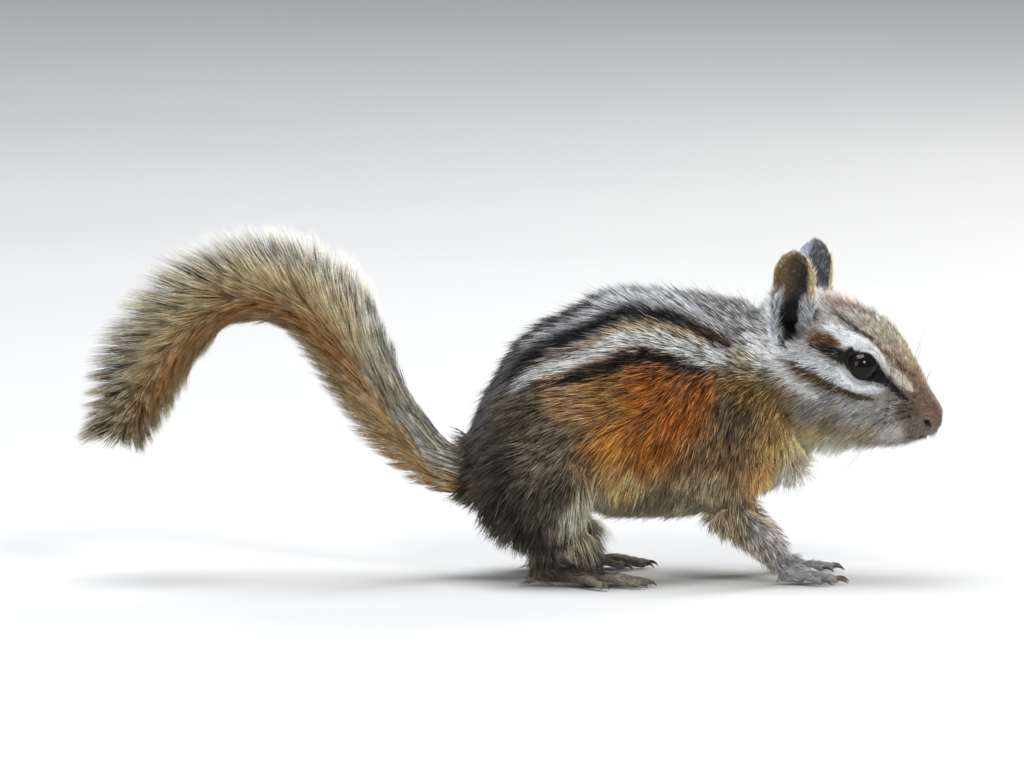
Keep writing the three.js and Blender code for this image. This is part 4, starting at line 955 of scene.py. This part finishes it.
def buildLid(side):
    # a ring that hugs the eyeball, from the rounded edge of the lids to where they end in the face
    bpy.ops.object.select_all(action="DESELECT")
    bpy.ops.mesh.primitive_torus_add(major_segments=72, minor_segments=14, major_radius=2, minor_radius=0.5)
    lid = bpy.context.object
    x, y, z = floatsOf(lid.data.vertices, "co").T
    around, section = np.arctan2(y, x), np.arctan2(z, np.hypot(x, y) - 2)
    share = 0.5 + 0.5 * np.cos(section)
    edge = lidAngle(around)
    angle = np.radians(edge + (lidPlan["outer"] - edge) * share)
    innerRadius = animal["eyeRadius"] - 0.1
    outerRadius = animal["eyeRadius"] + lidPlan["thick"] + lidPlan["grow"] * share
    radius = innerRadius + (outerRadius - innerRadius) * (0.5 + 0.5 * np.sin(section))
    own = np.stack([np.cos(around) * np.sin(angle), np.sin(around) * np.sin(angle), np.cos(angle)], 1)
    real = (own * radius[:, None]) @ eyeAxes.T + eyeCentre
    movePoints(lid, headAt + (real - headAt) * (1, side, 1) @ turn("Z", animal["headYaw"]).T)
    editWhole(lid, bpy.ops.mesh.normals_make_consistent, inside=False)
    return lid


carving = {"pit": (0.5, 1.1), "pitTop": (51.5, 54), "pitShallow": 0.8, "lidEdge": 8, "lidReach": 4.8, "socket": 3.0}


def carveFace(skin):
    # nostrils, mouth line, ear pits and the room for the lids, worked into the skin
    points, normals = pointsOf(skin), normalsOf(skin)
    real = straighten(points)
    side = np.sign(real[:, 1])
    real[:, 1] = np.abs(real[:, 1])
    masks = faceMasks(real)
    pit = 1 - smooth(*carving["pit"], pitGap(real, straightWays(points, normals, side)))
    pit *= 1 - carving["pitShallow"] * smooth(*carving["pitTop"], real[:, 2])
    deep = masks["nostril"] * facePlan["nostrilDeep"] + masks["mouth"] * facePlan["mouthDeep"]
    points -= normals * (deep + earPlan["pitDeep"] * pit)[:, None]
    gap, angle = aroundEye(real)[1:3]
    pushed = 1 - smooth(lidPlan["outer"] - carving["lidEdge"], lidPlan["outer"], angle)
    pushed = pushed * (gap < carving["lidReach"])
    for number in (-1, 1):
        away = points - onHead(animal["eye"], number)
        own = (pushed > 0) & (np.sign(straighten(points)[:, 1]) == number)
        inwards = pushed * (1 - carving["socket"] / np.maximum(gap, carving["socket"]))
        points[own] -= (away * inwards[:, None])[own]
    movePoints(skin, points)


def largestShell(thing):
    # drops closed hollows left inside where solids meet
    editWhole(thing, bpy.ops.mesh.separate, type="LOOSE")
    shells = sorted(bpy.context.selected_objects, key=lambda shell: len(shell.data.vertices))
    print("shells", len(shells))
    for shell in shells[:-1]:
        bpy.data.objects.remove(shell)
    shells[-1].name = thing.name if shells[-1] is thing else "skin"
    return shells[-1]


skinPlan = {"dilate": 0.32, "low": (3.5, 5.5), "voxel": 0.25, "easing": 6, "triangles": 180000, "headFrom": 36,
            "feetBelow": 5, "fineShare": 0.5, "thinning": 3, "tone": 0.7, "bareTone": 0.25}


def remeshSkin(skin):
    applyModifier(skin, "REMESH", mode="VOXEL", voxel_size=skinPlan["voxel"] * mm)
    return skin


def copyFlesh():
    # copies of the solids, with the paws apart because they keep their size
    body, paws = [], []
    for name in sorted(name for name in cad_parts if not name.startswith(("eye_", "tail_"))):
        copy = linked("copy_" + name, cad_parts[name].data.copy())
        copy.data.materials.clear()
        editWhole(copy, bpy.ops.mesh.remove_doubles, threshold=1e-6)
        if "paw" in name or "foot" in name:
            side = -1 if name.endswith("right") else 1
            foot = feet["fore" if "paw" in name else "hind"]
            shortenToes(copy, foot, side)
            paws += [copy, *toeTubes(foot, side)]
        else:
            body.append(copy)
    return body, paws


def weigh(skin, name, weights):
    # a vertex group, in steps of a tenth
    group = skin.vertex_groups.get(name) or skin.vertex_groups.new(name=name)
    for level in range(1, 11):
        chosen = np.nonzero(np.round(weights * 10) == level)[0]
        group.add(chosen.tolist(), level / 10, "REPLACE")


def sinkSkin(skin, share):
    # down under the coat, after which the creases are eased. The feet never grew to close the solids' gaps.
    points, normals = pointsOf(skin), normalsOf(skin)
    coat = coatAt(points, normals)
    grown = skinPlan["dilate"] * smooth(*skinPlan["low"], points[:, 2])
    movePoints(skin, points - normals * ((coat["depth"] + grown) * share)[:, None])
    weigh(skin, "deep", np.maximum(np.clip((coat["depth"] - 0.3) / 1.2, 0, 1), coat["onEar"] * 0.35))
    applyModifier(skin, "SMOOTH", factor=0.5, iterations=skinPlan["easing"], vertex_group="deep")


def thinSkin(skin):
    # the head and the feet stay finer
    skin.vertex_groups.clear()
    points = pointsOf(skin)
    fine = (points[:, 0] > skinPlan["headFrom"]) | (points[:, 2] < skinPlan["feetBelow"])
    weigh(skin, "plain", np.where(fine, skinPlan["fineShare"], 1))
    count = triangleCount(skin)
    print("skin triangles before thinning", count)
    applyModifier(skin, "DECIMATE", ratio=min(1, skinPlan["triangles"] / count), vertex_group="plain",
                  vertex_group_factor=skinPlan["thinning"])
    skin.vertex_groups.clear()


def buildSkin():
    body, paws = copyFlesh()
    skin = joinAll(body)
    applyModifier(skin, "DISPLACE", strength=skinPlan["dilate"] * mm, mid_level=0)
    skin = joinAll([skin, *paws])
    skin.name = "skin"
    skin = largestShell(remeshSkin(skin))
    applyModifier(skin, "SMOOTH", factor=0.5, iterations=2)
    print("skin joined")
    for share in (0.5, 0.5):
        sinkSkin(skin, share)
    skin = remeshSkin(joinAll([skin, tailTube()]))
    applyModifier(skin, "SMOOTH", factor=0.5, iterations=2)
    skin = largestShell(skin)
    print("skin sunk")
    carveFace(skin)
    thinSkin(skin)
    skin = joinAll([skin, buildLid(-1), buildLid(1)])
    skin.data.shade_smooth()
    print("skin triangles", triangleCount(skin))
    return skin


def paintSkin(skin):
    points, normals = pointsOf(skin), normalsOf(skin)
    depth = coatAt(points, normals)["depth"]
    coat = coatAt(points, normals, points + normals * depth[:, None])
    colour = coat["middle"] * skinPlan["tone"] * coatGain
    bare = 1 - smooth(0.15, 0.35, coat["depth"])
    paintPoints(skin.data, "coat", colour * (1 - skinPlan["bareTone"] * bare[:, None]))


# Tufts of hair: each is a thin closed spike with three sides, bent along its length
tuftPlan = {
    "taper": {1: [1], 2: [0.85, 1], 3: [0.8, 1, 0.62]},
    "steps": {1: [0, 1], 2: [0, 0.5, 1], 3: [0, 0.34, 0.68, 1]},
    "corners": ((-0.5, 0), (0.5, 0), (0, 0.45)), "uvSize": (0.0013, 0.0028), "floor": 0.12, "pullCurve": 1.6,
}


def meshFrom(name, vertices, triangles, colours, uv):
    mesh = bpy.data.meshes.new(name)
    mesh.vertices.add(len(vertices))
    mesh.vertices.foreach_set("co", vertices.astype(np.float32).ravel())
    mesh.loops.add(len(triangles) * 3)
    mesh.loops.foreach_set("vertex_index", triangles.astype(np.int32).ravel())
    mesh.polygons.add(len(triangles))
    mesh.polygons.foreach_set("loop_start", np.arange(0, len(triangles) * 3, 3, dtype=np.int32))
    mesh.update(calc_edges=True)
    mesh.shade_smooth()
    paintPoints(mesh, "coat", colours)
    mesh.uv_layers.new(name="OFBake").data.foreach_set("uv", uv[triangles.ravel()].astype(np.float32).ravel())
    return linked(name, mesh)


def tuftMesh(name, spine, across, outward, wide, colours, rootUv):
    # spine and colours hold one row per tuft and one column per ring, the last of them for the tip
    count, rings = len(spine), spine.shape[1] - 1
    corners = rings * 3 + 1
    block, shade, patch = (np.zeros((count, corners, size)) for size in (3, 3, 2))
    wideUv, highUv = tuftPlan["uvSize"]
    for j in range(rings):
        half = (wide * tuftPlan["taper"][rings][j])[:, None]
        for c, (side, rise) in enumerate(tuftPlan["corners"]):
            block[:, j * 3 + c] = spine[:, j] + across * half * side + outward * half * rise
            shade[:, j * 3 + c] = colours[:, j]
            patch[:, j * 3 + c] = rootUv + np.array([(c - 1) * wideUv, (j / rings - 0.5) * highUv])
    block[:, -1], shade[:, -1] = spine[:, -1], colours[:, -1]
    patch[:, -1] = rootUv + np.array([0, highUv / 2])
    faces = [(2, 1, 0)]
    for j in range(rings - 1):
        for c in range(3):
            a, b = j * 3 + c, j * 3 + (c + 1) % 3
            faces += [(a, b, b + 3), (a, b + 3, a + 3)]
    last = (rings - 1) * 3
    faces += [(last + c, last + (c + 1) % 3, rings * 3) for c in range(3)]
    triangles = np.array(faces)[None] + (np.arange(count) * corners)[:, None, None]
    vertices = (block.reshape(-1, 3) + shift) * mm
    return meshFrom(name, vertices, triangles.reshape(-1, 3), shade.reshape(-1, 3), patch.reshape(-1, 2))


def flatLie(lie, normals):
    return unit(lie - normals * (lie * normals).sum(1, keepdims=True))


def lifted(flat, normals, degrees):
    angle = np.radians(degrees)[:, None]
    return flat * np.cos(angle) + normals * np.sin(angle)


def spines(roots, normals, lie, lift, length, bend, rings, pull=None):
    # the hair leaves the skin steeply and bends over towards its lie
    flat = flatLie(lie, normals)
    first, last = lifted(flat, normals, lift + bend), lifted(flat, normals, lift - bend)
    steps = tuftPlan["steps"][rings]
    spine = np.stack([roots + length[:, None] * (first * t + (last - first) * t * t / 2) for t in steps], 1)
    if pull is not None:
        spine += pull[:, None, :] * (np.array(steps) ** tuftPlan["pullCurve"])[None, :, None]
    spine[:, :, 2] = np.maximum(spine[:, :, 2], tuftPlan["floor"])  # none goes through the floor
    way = unit(spine[:, -1] - spine[:, 0])
    across = unit(np.cross(way, normals))
    return spine, across, unit(np.cross(across, way))


def clumpPull(roots, tips, spacing, strength, limit):
    # draws the tips of neighbouring hairs together
    leaders = random.permutation(len(roots))[:max(1, len(roots) // spacing)]
    tree = KDTree(len(leaders))
    for i, leader in enumerate(leaders):
        tree.insert(roots[leader], i)
    tree.balance()
    nearest = np.array([tree.find(root)[1] for root in roots])
    pull = (tips[leaders[nearest]] - tips) * strength
    most = limit * np.linalg.norm(tips - roots, axis=1)
    return pull * np.minimum(1, most / np.maximum(np.linalg.norm(pull, axis=1), 1e-6))[:, None], nearest


def unwrap(points):
    # the skin unrolled round the long axis of a piece
    centred = points - points.mean(0)
    axes = np.linalg.svd(centred[:: max(1, len(points) // 4000)], full_matrices=False)[2]
    own = centred @ axes.T
    around = np.arctan2(own[:, 2], own[:, 1]) / (2 * math.pi) + 0.5
    height = (own[:, 0] - own[:, 0].min()) / max(np.ptp(own[:, 0]), 1e-6)
    return np.column_stack([around, height]) * 0.98 + 0.01


coatPlan = {
    "density": 1.04, "soles": (1.1, -0.3), "tailFrom": -31.5, "jitter": 0.16, "bend": 12, "sink": 0.25,
    "clump": 14, "pull": 0.36, "pullMost": 0.4, "straightBelow": 2.45,
    "vary": {"length": 0.13, "lift": 5, "wide": 0.15},
    "warm": 0.03, "tone": 0.2, "strokeTone": 0.6, "clumpTone": 0.22,
    "guards": 0.03, "hanging": 0.1, "guard": {"length": 1.45, "lift": 9, "wide": 0.8},
    "strokes": 0.2, "stroke": {"length": 1.08, "lift": 3, "wide": 1.45},
    "shared": 0.65, "seenAt": 0.82, "seenJitter": (0.18, 0.22, 0.38),
}


def sampleSkin(skin):
    # roots of the hairs, as many in each triangle as the coat is dense there
    mesh = skin.data
    mesh.calc_loop_triangles()
    corners = np.zeros(len(mesh.loop_triangles) * 3, np.int32)
    mesh.loop_triangles.foreach_get("vertices", corners)
    corners = corners.reshape(-1, 3)
    points, normals = pointsOf(skin), normalsOf(skin)
    a, b, c = (points[corners[:, i]] for i in range(3))
    area = np.linalg.norm(np.cross(b - a, c - a), axis=1) / 2
    middle = (a + b + c) / 3
    facing = unit(normals[corners].sum(1))
    coat = coatAt(middle, facing)
    weight = area * coat["dense"] * coatPlan["density"]
    low, downward = coatPlan["soles"]
    soles = (middle[:, 2] < low) & (facing[:, 2] < downward)
    weight[coat["bare"] | soles | (middle[:, 0] < coatPlan["tailFrom"])] = 0
    total = int(weight.sum())
    print("skin area", area.sum().round(), "hairs", total)
    picks = (np.arange(total) + random.random(total)) / total * weight.sum()
    chosen = corners[np.minimum(np.searchsorted(np.cumsum(weight), picks), len(area) - 1)]
    u, v = random.random(total), random.random(total)
    over = u + v > 1
    u[over], v[over] = 1 - u[over], 1 - v[over]
    share = np.stack([1 - u - v, u, v], 1)[:, :, None]
    return (points[chosen] * share).sum(1), unit((normals[chosen] * share).sum(1))


def colourHairs(coat, count, rings, clumpTone, stroke, shared):
    uneven = random.normal(0, 1, count) * np.where(stroke, coatPlan["strokeTone"], coatPlan["tone"])
    tone = clumpTone * np.clip(1 + uneven, 0.3, 1.9)
    warm = random.normal(0, coatPlan["warm"], count)
    kind = np.where(random.random(count) < coatPlan["shared"], shared, random.random(count))
    root, middle, tip = coat["root"], coat["middle"].copy(), coat["tip"].copy()
    dark, pale = kind < coat["dark"], kind > 1 - coat["pale"]
    middle[dark] = middle[dark] * 0.4
    tip[dark] = tip[dark] * 0.25
    middle[pale] = middle[pale] * 1.15
    tip[pale] = tip[pale] * 0.6 + linear(paleHair) * 0.4 + tip[pale] * 0.1
    shades = np.stack([1 + warm, np.ones(count), 1 - warm], 1) * tone[:, None] * coatGain
    # the roots are darker than the middle: the dark base of banded hair, and painted shade deep in the coat
    columns = [root * 0.4 + middle * 0.6, tip] if rings == 1 else [root * 0.8, middle, tip]
    return np.clip(np.stack([column * shades for column in columns], 1), 0, 0.95)


def nearestNodes(points):
    # each tuft belongs to the part of the body that it covers
    owners, vertices, faces = [], [], []
    for name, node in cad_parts.items():
        if name.startswith("eye_"):
            continue
        base = len(vertices)
        vertices += [v.co for v in node.data.vertices]
        faces += [[base + i for i in p.vertices] for p in node.data.polygons]
        owners += [name] * len(node.data.polygons)
    tree = BVHTree.FromPolygons(vertices, faces)
    return np.array([owners[tree.find_nearest(Vector(point))[2]] for point in points])


def buildCoat(skin):
    roots, normals = sampleSkin(skin)
    count = len(roots)
    coat = coatAt(roots, normals)
    real = straighten(roots)
    vary = coatPlan["vary"]
    under = (real[:, 0] > 33) & (real[:, 2] < 31) & (normals[:, 2] < 0)  # the throat
    # guard hairs are longer and stand out of the rest, strokes are broad ones on top, lighter or darker
    guard = random.random(count) < coatPlan["guards"] + coatPlan["hanging"] * under
    stroke = random.random(count) < coatPlan["strokes"]
    grow = {key: np.where(guard, coatPlan["guard"][key], 1) for key in ("length", "wide")}
    broad = {key: np.where(stroke, coatPlan["stroke"][key], 1) for key in ("length", "wide")}
    length = coat["length"] * (1 + random.normal(0, vary["length"], count)) * grow["length"] * broad["length"]
    lift = coat["lift"] + random.normal(0, vary["lift"], count)
    lift = lift + np.where(guard, coatPlan["guard"]["lift"], 0) + np.where(stroke, coatPlan["stroke"]["lift"], 0)
    wide = coat["wide"] * (1 + random.normal(0, vary["wide"], count)) * grow["wide"] * broad["wide"]
    lie = unit(coat["lie"]) + random.normal(0, coatPlan["jitter"], (count, 3))
    tips = roots + length[:, None] * lifted(flatLie(lie, normals), normals, lift)
    pull, clump = clumpPull(roots, tips, coatPlan["clump"], coatPlan["pull"], coatPlan["pullMost"])
    clumpTone = (1 + random.normal(0, coatPlan["clumpTone"], clump.max() + 1))[clump]
    # the hairs of a wisp are dark or pale together
    shared = random.random((clump.max() + 1, 4))[clump, random.integers(0, 4, count)]
    share, least, most = coatPlan["seenJitter"]
    jitter = random.normal(0, 1, (count, 3)) * np.clip(share * length, least, most)[:, None]
    colours = coatAt(roots, normals, roots + (tips - roots) * coatPlan["seenAt"] + jitter)
    owner = nearestNodes((roots + shift) * mm)
    left = straighten(roots)[:, 1] > 0
    fur = makeFinish("fur")
    made = []
    for name in sorted(set(owner)):
        own = owner == name
        sides = [("", own)]
        if name in ("head", "neck", "chest", "belly", "rump"):
            sides = [("_left", own & left), ("_right", own & ~left)]
        for label, mask in sides:
            index = np.nonzero(mask)[0]
            if len(index) < 4:
                continue
            rings = 1 if np.median(length[index]) < coatPlan["straightBelow"] else 2
            spine, across, outward = spines(
                roots[index] - normals[index] * coatPlan["sink"], normals[index], lie[index], lift[index],
                length[index] + coatPlan["sink"], coatPlan["bend"], rings, pull[index])
            hair = {key: value[index] for key, value in colours.items()}
            shades = colourHairs(hair, len(index), rings, clumpTone[index], stroke[index], shared[index])
            uv = unwrap(roots[index])
            piece = tuftMesh(f"coat_{name}{label}", spine, across, outward, wide[index], shades, uv)
            piece.data.materials.append(fur)
            made.append(piece)
            print(piece.name, triangleCount(piece))
    return made, fur


def buildWhiskers(skin, fur):
    points, normals = pointsOf(skin), normalsOf(skin)
    real = straighten(points)
    roots, ways, facing, longs = [], [], [], []
    shortest, longest = whiskerPlan["long"]
    for side in (-1, 1):
        near = np.nonzero((real[:, 0] > 50) & (real[:, 1] * side > 2.5))[0]
        for row, place in whiskerSpots:
            x, z = whiskerRoot(row, place) + random.normal(0, 0.1, 2)
            nearest = near[np.argmin((real[near, 0] - x) ** 2 + (real[near, 2] - z) ** 2)]
            roots.append(points[nearest])
            facing.append(normals[nearest])
            back, top = random.normal(0, 0.12), row == 0  # the top row stands up
            ways.append((-0.8 + 0.9 * top + back, 0.3 * side, 0.3 * top - 0.22 * row + random.normal(0, 0.08)))
            share = place / (whiskerPlan["inRow"] - 1)
            longs.append(shortest + (longest - shortest) * share + random.normal(0, 1))
    roots, facing, ways, longs = np.array(roots), np.array(facing), np.array(ways), np.array(longs)
    count = len(roots)
    lift = random.uniform(*whiskerPlan["lift"], count)
    sunk = roots - facing * whiskerPlan["sink"]
    spine, across, outward = spines(sunk, facing, ways, lift, longs, whiskerPlan["bend"], 3)
    shades = np.clip(linear(whiskerColours)[None] * random.uniform(*whiskerPlan["shades"], (count, 1, 1)), 0, 0.9)
    wide = np.full(count, whiskerPlan["wide"])
    piece = tuftMesh("whiskers", spine, across, outward, wide, shades, unwrap(roots))
    piece.data.materials.append(fur)
    return piece


# Tail: its hair is parted to both edges, and its underside turns towards the near side
tailCoat = {
    "hairs": 29000, "wide": 0.12, "bend": 8, "clump": 26, "pull": 0.6, "limit": 0.36, "ahead": 9, "spread": 1.12,
    "from": 3, "stop": 7, "crowding": 0.95, "twist": (-4, 16, 60), "flatter": 0.55,
    "dark": 0.2, "pale": 0.2, "shared": 0.5, "paleHair": (226, 212, 172),
    # painted light: the outer hairs are painted brighter on the rising part of the arch and darker towards its end,
    # by distance along the tail
    "paintedLightAlong": ([0, 30, 55, 75, 95, 125], [1.1, 1.45, 1.4, 1.15, 0.9, 0.62]),
    "vary": {"length": 0.08, "lift": 5, "lie": 0.07, "clumpTone": 0.16, "tone": 0.28, "wide": 0.15},
    "baseInner": (-0.1, 0.5), "baseEnd": (18, 42), "endFade": (16, 2), "endShare": 0.75,
    "angle": [0, 36, 62, 90, 125, 180],  # degrees round the bone from the middle of the underside
    "outerLong": [6.5, 9.5, 13.5, 17, 15, 11],
    "innerLong": [6.5, 8.5, 10.5, 11.5, 11, 10.5],
    "reach": [0.42, 0.6, 0.86, 1, 0.9, 0.62],
}
# each row goes from the root of the hair to its tip, for the angles above
tailColours = {
    "outer": [
        ((152, 104, 58), (148, 96, 46), (160, 108, 56), (204, 160, 102)),
        ((196, 170, 124), (186, 160, 114), (178, 154, 112), (230, 210, 168)),
        ((210, 192, 154), (192, 174, 136), (160, 147, 120), (236, 224, 192)),
        ((204, 194, 164), (84, 82, 80), (118, 116, 110), (244, 237, 216)),
        ((130, 130, 124), (62, 64, 67), (106, 106, 104), (238, 234, 222)),
        ((104, 104, 102), (62, 64, 67), (92, 92, 92), (222, 220, 212))],
    "inner": [
        ((152, 104, 58), (148, 96, 46), (160, 108, 56), (204, 160, 102)),
        ((148, 98, 50), (156, 106, 56), (136, 100, 58), (212, 176, 120)),
        ((132, 96, 54), (140, 106, 66), (132, 106, 72), (228, 204, 154)),
        ((112, 86, 56), (96, 78, 56), (136, 116, 84), (236, 218, 176)),
        ((84, 76, 60), (74, 68, 58), (110, 100, 80), (228, 214, 182)),
        ((104, 104, 102), (62, 64, 67), (92, 92, 92), (214, 210, 198))],
    "base": ((132, 132, 122), (146, 147, 138), (116, 117, 112), (240, 240, 230)),
    "baseInner": ((146, 112, 68), (188, 150, 96), (168, 136, 90), (244, 222, 176)),
    "end": ((100, 86, 60), (78, 68, 52), (88, 77, 60), (226, 206, 164)),
}


def acrossAngles(angle, rows):
    # a value for each hair from a row of values round the bone
    rows = np.array(rows, float)
    columns = rows.reshape(len(rows), -1).T
    found = np.stack([np.interp(angle, tailCoat["angle"], column) for column in columns], 1)
    return found.reshape(-1, *rows.shape[1:])


def tailShades(distance, last, angle, outer, outerShare):
    # the colours round the bone, which give way to others at the base and at the end; the outer hairs also carry
    # painted light along the tail
    palette = {name: linear(colours) for name, colours in tailColours.items()}
    paintedLight = 1 + outerShare * smooth(20, 60, angle) * (np.interp(distance, *tailCoat["paintedLightAlong"]) - 1)
    outside = paintedLight[:, None, None] * acrossAngles(angle, palette["outer"])
    shades = mixed(acrossAngles(angle, palette["inner"]), outside, outerShare)
    base = mixed(palette["base"][None], palette["baseInner"][None], smooth(*tailCoat["baseInner"], -outer))
    shades = mixed(shades, base, 1 - smooth(*tailCoat["baseEnd"], distance))
    endFrom, endTo = tailCoat["endFade"]
    endShare = smooth(last - endFrom, last - endTo, distance) * tailCoat["endShare"]
    return mixed(shades, palette["end"][None], endShare)


def buildTail(fur):
    count, vary = tailCoat["hairs"], tailCoat["vary"]
    last = tailLong[-1] - tailCoat["stop"]
    share = ((np.arange(count) + random.random(count)) / count) ** tailCoat["crowding"]
    distance = np.sort(tailCoat["from"] + (last - tailCoat["from"]) * share)
    around = random.random(count) * 2 * math.pi
    centre, along, up, radius = tailAt(distance)
    sideways = np.tile([0.0, 1.0, 0.0], (count, 1))
    begin, end, most = tailCoat["twist"]
    twist = np.radians(most) * smooth(begin, end, distance)[:, None]
    under = -up * np.cos(twist) - sideways * np.sin(twist)
    edge = up * np.sin(twist) - sideways * np.cos(twist)
    edge = np.where(((edge * up).sum(1) < -0.01)[:, None], -edge, edge)
    start = 1 - smooth(begin, end, distance)  # before the twist both edges lie to the sides
    outward = unit(up * start[:, None] + edge * (1 - start[:, None]))
    normals = unit(under * np.cos(around)[:, None] + edge * np.sin(around)[:, None])
    roots = centre + normals * (radius * 0.9)[:, None]
    outer = (normals * up).sum(1)
    angle = np.degrees(np.arccos(np.clip((normals * under).sum(1), -1, 1)))
    outerShare = smooth(-0.25, 0.25, (normals * outward).sum(1))
    sink = tailRow(distance, [3])[:, 0]
    inner, outside = tailRow(distance + tailCoat["ahead"], (4, 5)).T
    innerLong, outerLong = (acrossAngles(angle, tailCoat[key]) for key in ("innerLong", "outerLong"))
    length = mixed(innerLong, outerLong, outerShare)
    shorter = (0.5 + 0.5 * smooth(2, 30, distance)) * (1 - 0.35 * smooth(last - 24, last, distance))
    length *= shorter * (1 + random.normal(0, vary["length"], count))
    reach = mixed(inner, outside, outerShare) + sink * outer
    wanted = reach * acrossAngles(angle, tailCoat["reach"]) * tailCoat["spread"] - radius
    lift = np.degrees(np.arcsin(np.clip(wanted / length, 0.1, 0.87))) + random.normal(0, vary["lift"], count)
    lean = unit(normals - under * ((normals * under).sum(1) * tailCoat["flatter"])[:, None])
    lie = along + random.normal(0, vary["lie"], (count, 3))
    tips = roots + length[:, None] * lifted(flatLie(lie, lean), lean, lift)
    pull, clump = clumpPull(roots, tips, tailCoat["clump"], tailCoat["pull"], tailCoat["limit"])
    spine, across, outwards = spines(roots, lean, lie, lift, length, tailCoat["bend"], 3, pull)
    clumpTone = (1 + random.normal(0, vary["clumpTone"], clump.max() + 1))[clump]
    tone = clumpTone * np.clip(1 + random.normal(0, vary["tone"], count), 0.4, 1.8)
    shades = tailShades(distance, last, angle, outer, outerShare) * tone[:, None, None] * coatGain
    inWisp = random.random(count) < tailCoat["shared"]
    shared = random.random((clump.max() + 1, 6))[clump, random.integers(0, 6, count)]
    kind = np.where(inWisp, shared, random.random(count))
    dark, pale = kind < tailCoat["dark"], kind > 1 - tailCoat["pale"]
    shades[dark, 1:] *= 0.35
    paler = (0.35 + 0.65 * smooth(20, 80, angle[pale]))[:, None, None]
    shades[pale, 1:] = shades[pale, 1:] * 0.35 + linear(tailCoat["paleHair"]) * 0.65 * coatGain * paler
    shades = np.clip(shades, 0, 0.95)
    uv = np.column_stack([around / (2 * math.pi), distance / tailLong[-1]]) * 0.98 + 0.01
    made = []
    edges = np.linspace(0, count, 5).astype(int)
    for number, (first, end) in enumerate(zip(edges[:-1], edges[1:]), 1):
        own = slice(first, end)
        spread = uv[own].copy()
        spread[:, 1] = (spread[:, 1] - spread[:, 1].min()) / np.ptp(spread[:, 1]) * 0.98 + 0.01
        wide = tailCoat["wide"] * (1 + random.normal(0, vary["wide"], end - first)) * np.where(pale[own], 1.2, 1)
        piece = tuftMesh(f"tail_hair_{number}", spine[own], across[own], outwards[own], wide, shades[own], spread)
        piece.data.materials.append(fur)
        made.append(piece)
        print(piece.name, triangleCount(piece))
    return made


eyePlan = {"radius": 3.46, "bulge": 0.25, "bulgeEdge": (0.55, 0.95), "irisEdge": (0.86, 0.92)}


def buildEyes():
    finish = makeFinish("eyeball")
    for side, name in ((-1, "right"), (1, "left")):
        centre = onHead(animal["eye"], side)
        swing = turn("Z", side * -animal["eyeForward"]) @ turn("X", side * animal["eyeUp"])
        gaze = turn("Z", animal["headYaw"]) @ headTurn @ swing @ np.array([0, side, 0])
        bpy.ops.object.select_all(action="DESELECT")
        bpy.ops.mesh.primitive_uv_sphere_add(
            segments=48, ring_count=32, radius=eyePlan["radius"] * mm, location=(centre + shift) * mm)
        ball = bpy.context.object
        ball.name = f"eyeball_{name}"
        ball.rotation_euler = Vector(gaze).to_track_quat("Z", "Y").to_euler()
        bpy.ops.object.transform_apply(location=True, rotation=True, scale=True)
        points = pointsOf(ball) - centre
        facing = unit(points) @ gaze
        bulge = smooth(*eyePlan["bulgeEdge"], facing) * eyePlan["bulge"]
        movePoints(ball, points + gaze * bulge[:, None] + centre)
        paintPoints(ball.data, "iris", np.column_stack([1 - smooth(*eyePlan["irisEdge"], facing)] * 3))
        ball.data.shade_smooth()
        ball.data.materials.append(finish)
        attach(ball, "root")
        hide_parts(f"eye_{name}")


buildCamera()
buildLight()
buildFloor()
skin = buildSkin()
paintSkin(skin)
skin.data.materials.append(makeFinish("skin"))
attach(skin, "root")
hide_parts(*[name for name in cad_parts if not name.startswith("eye_")])
print("skin done")
pieces, fur = buildCoat(skin)
pieces.append(buildWhiskers(skin, fur))
pieces += buildTail(fur)
for piece in pieces:
    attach(piece, "root")
print("coat done", sum(triangleCount(piece) for piece in pieces))
buildEyes()
buildClaws()
print("eyes and claws done")
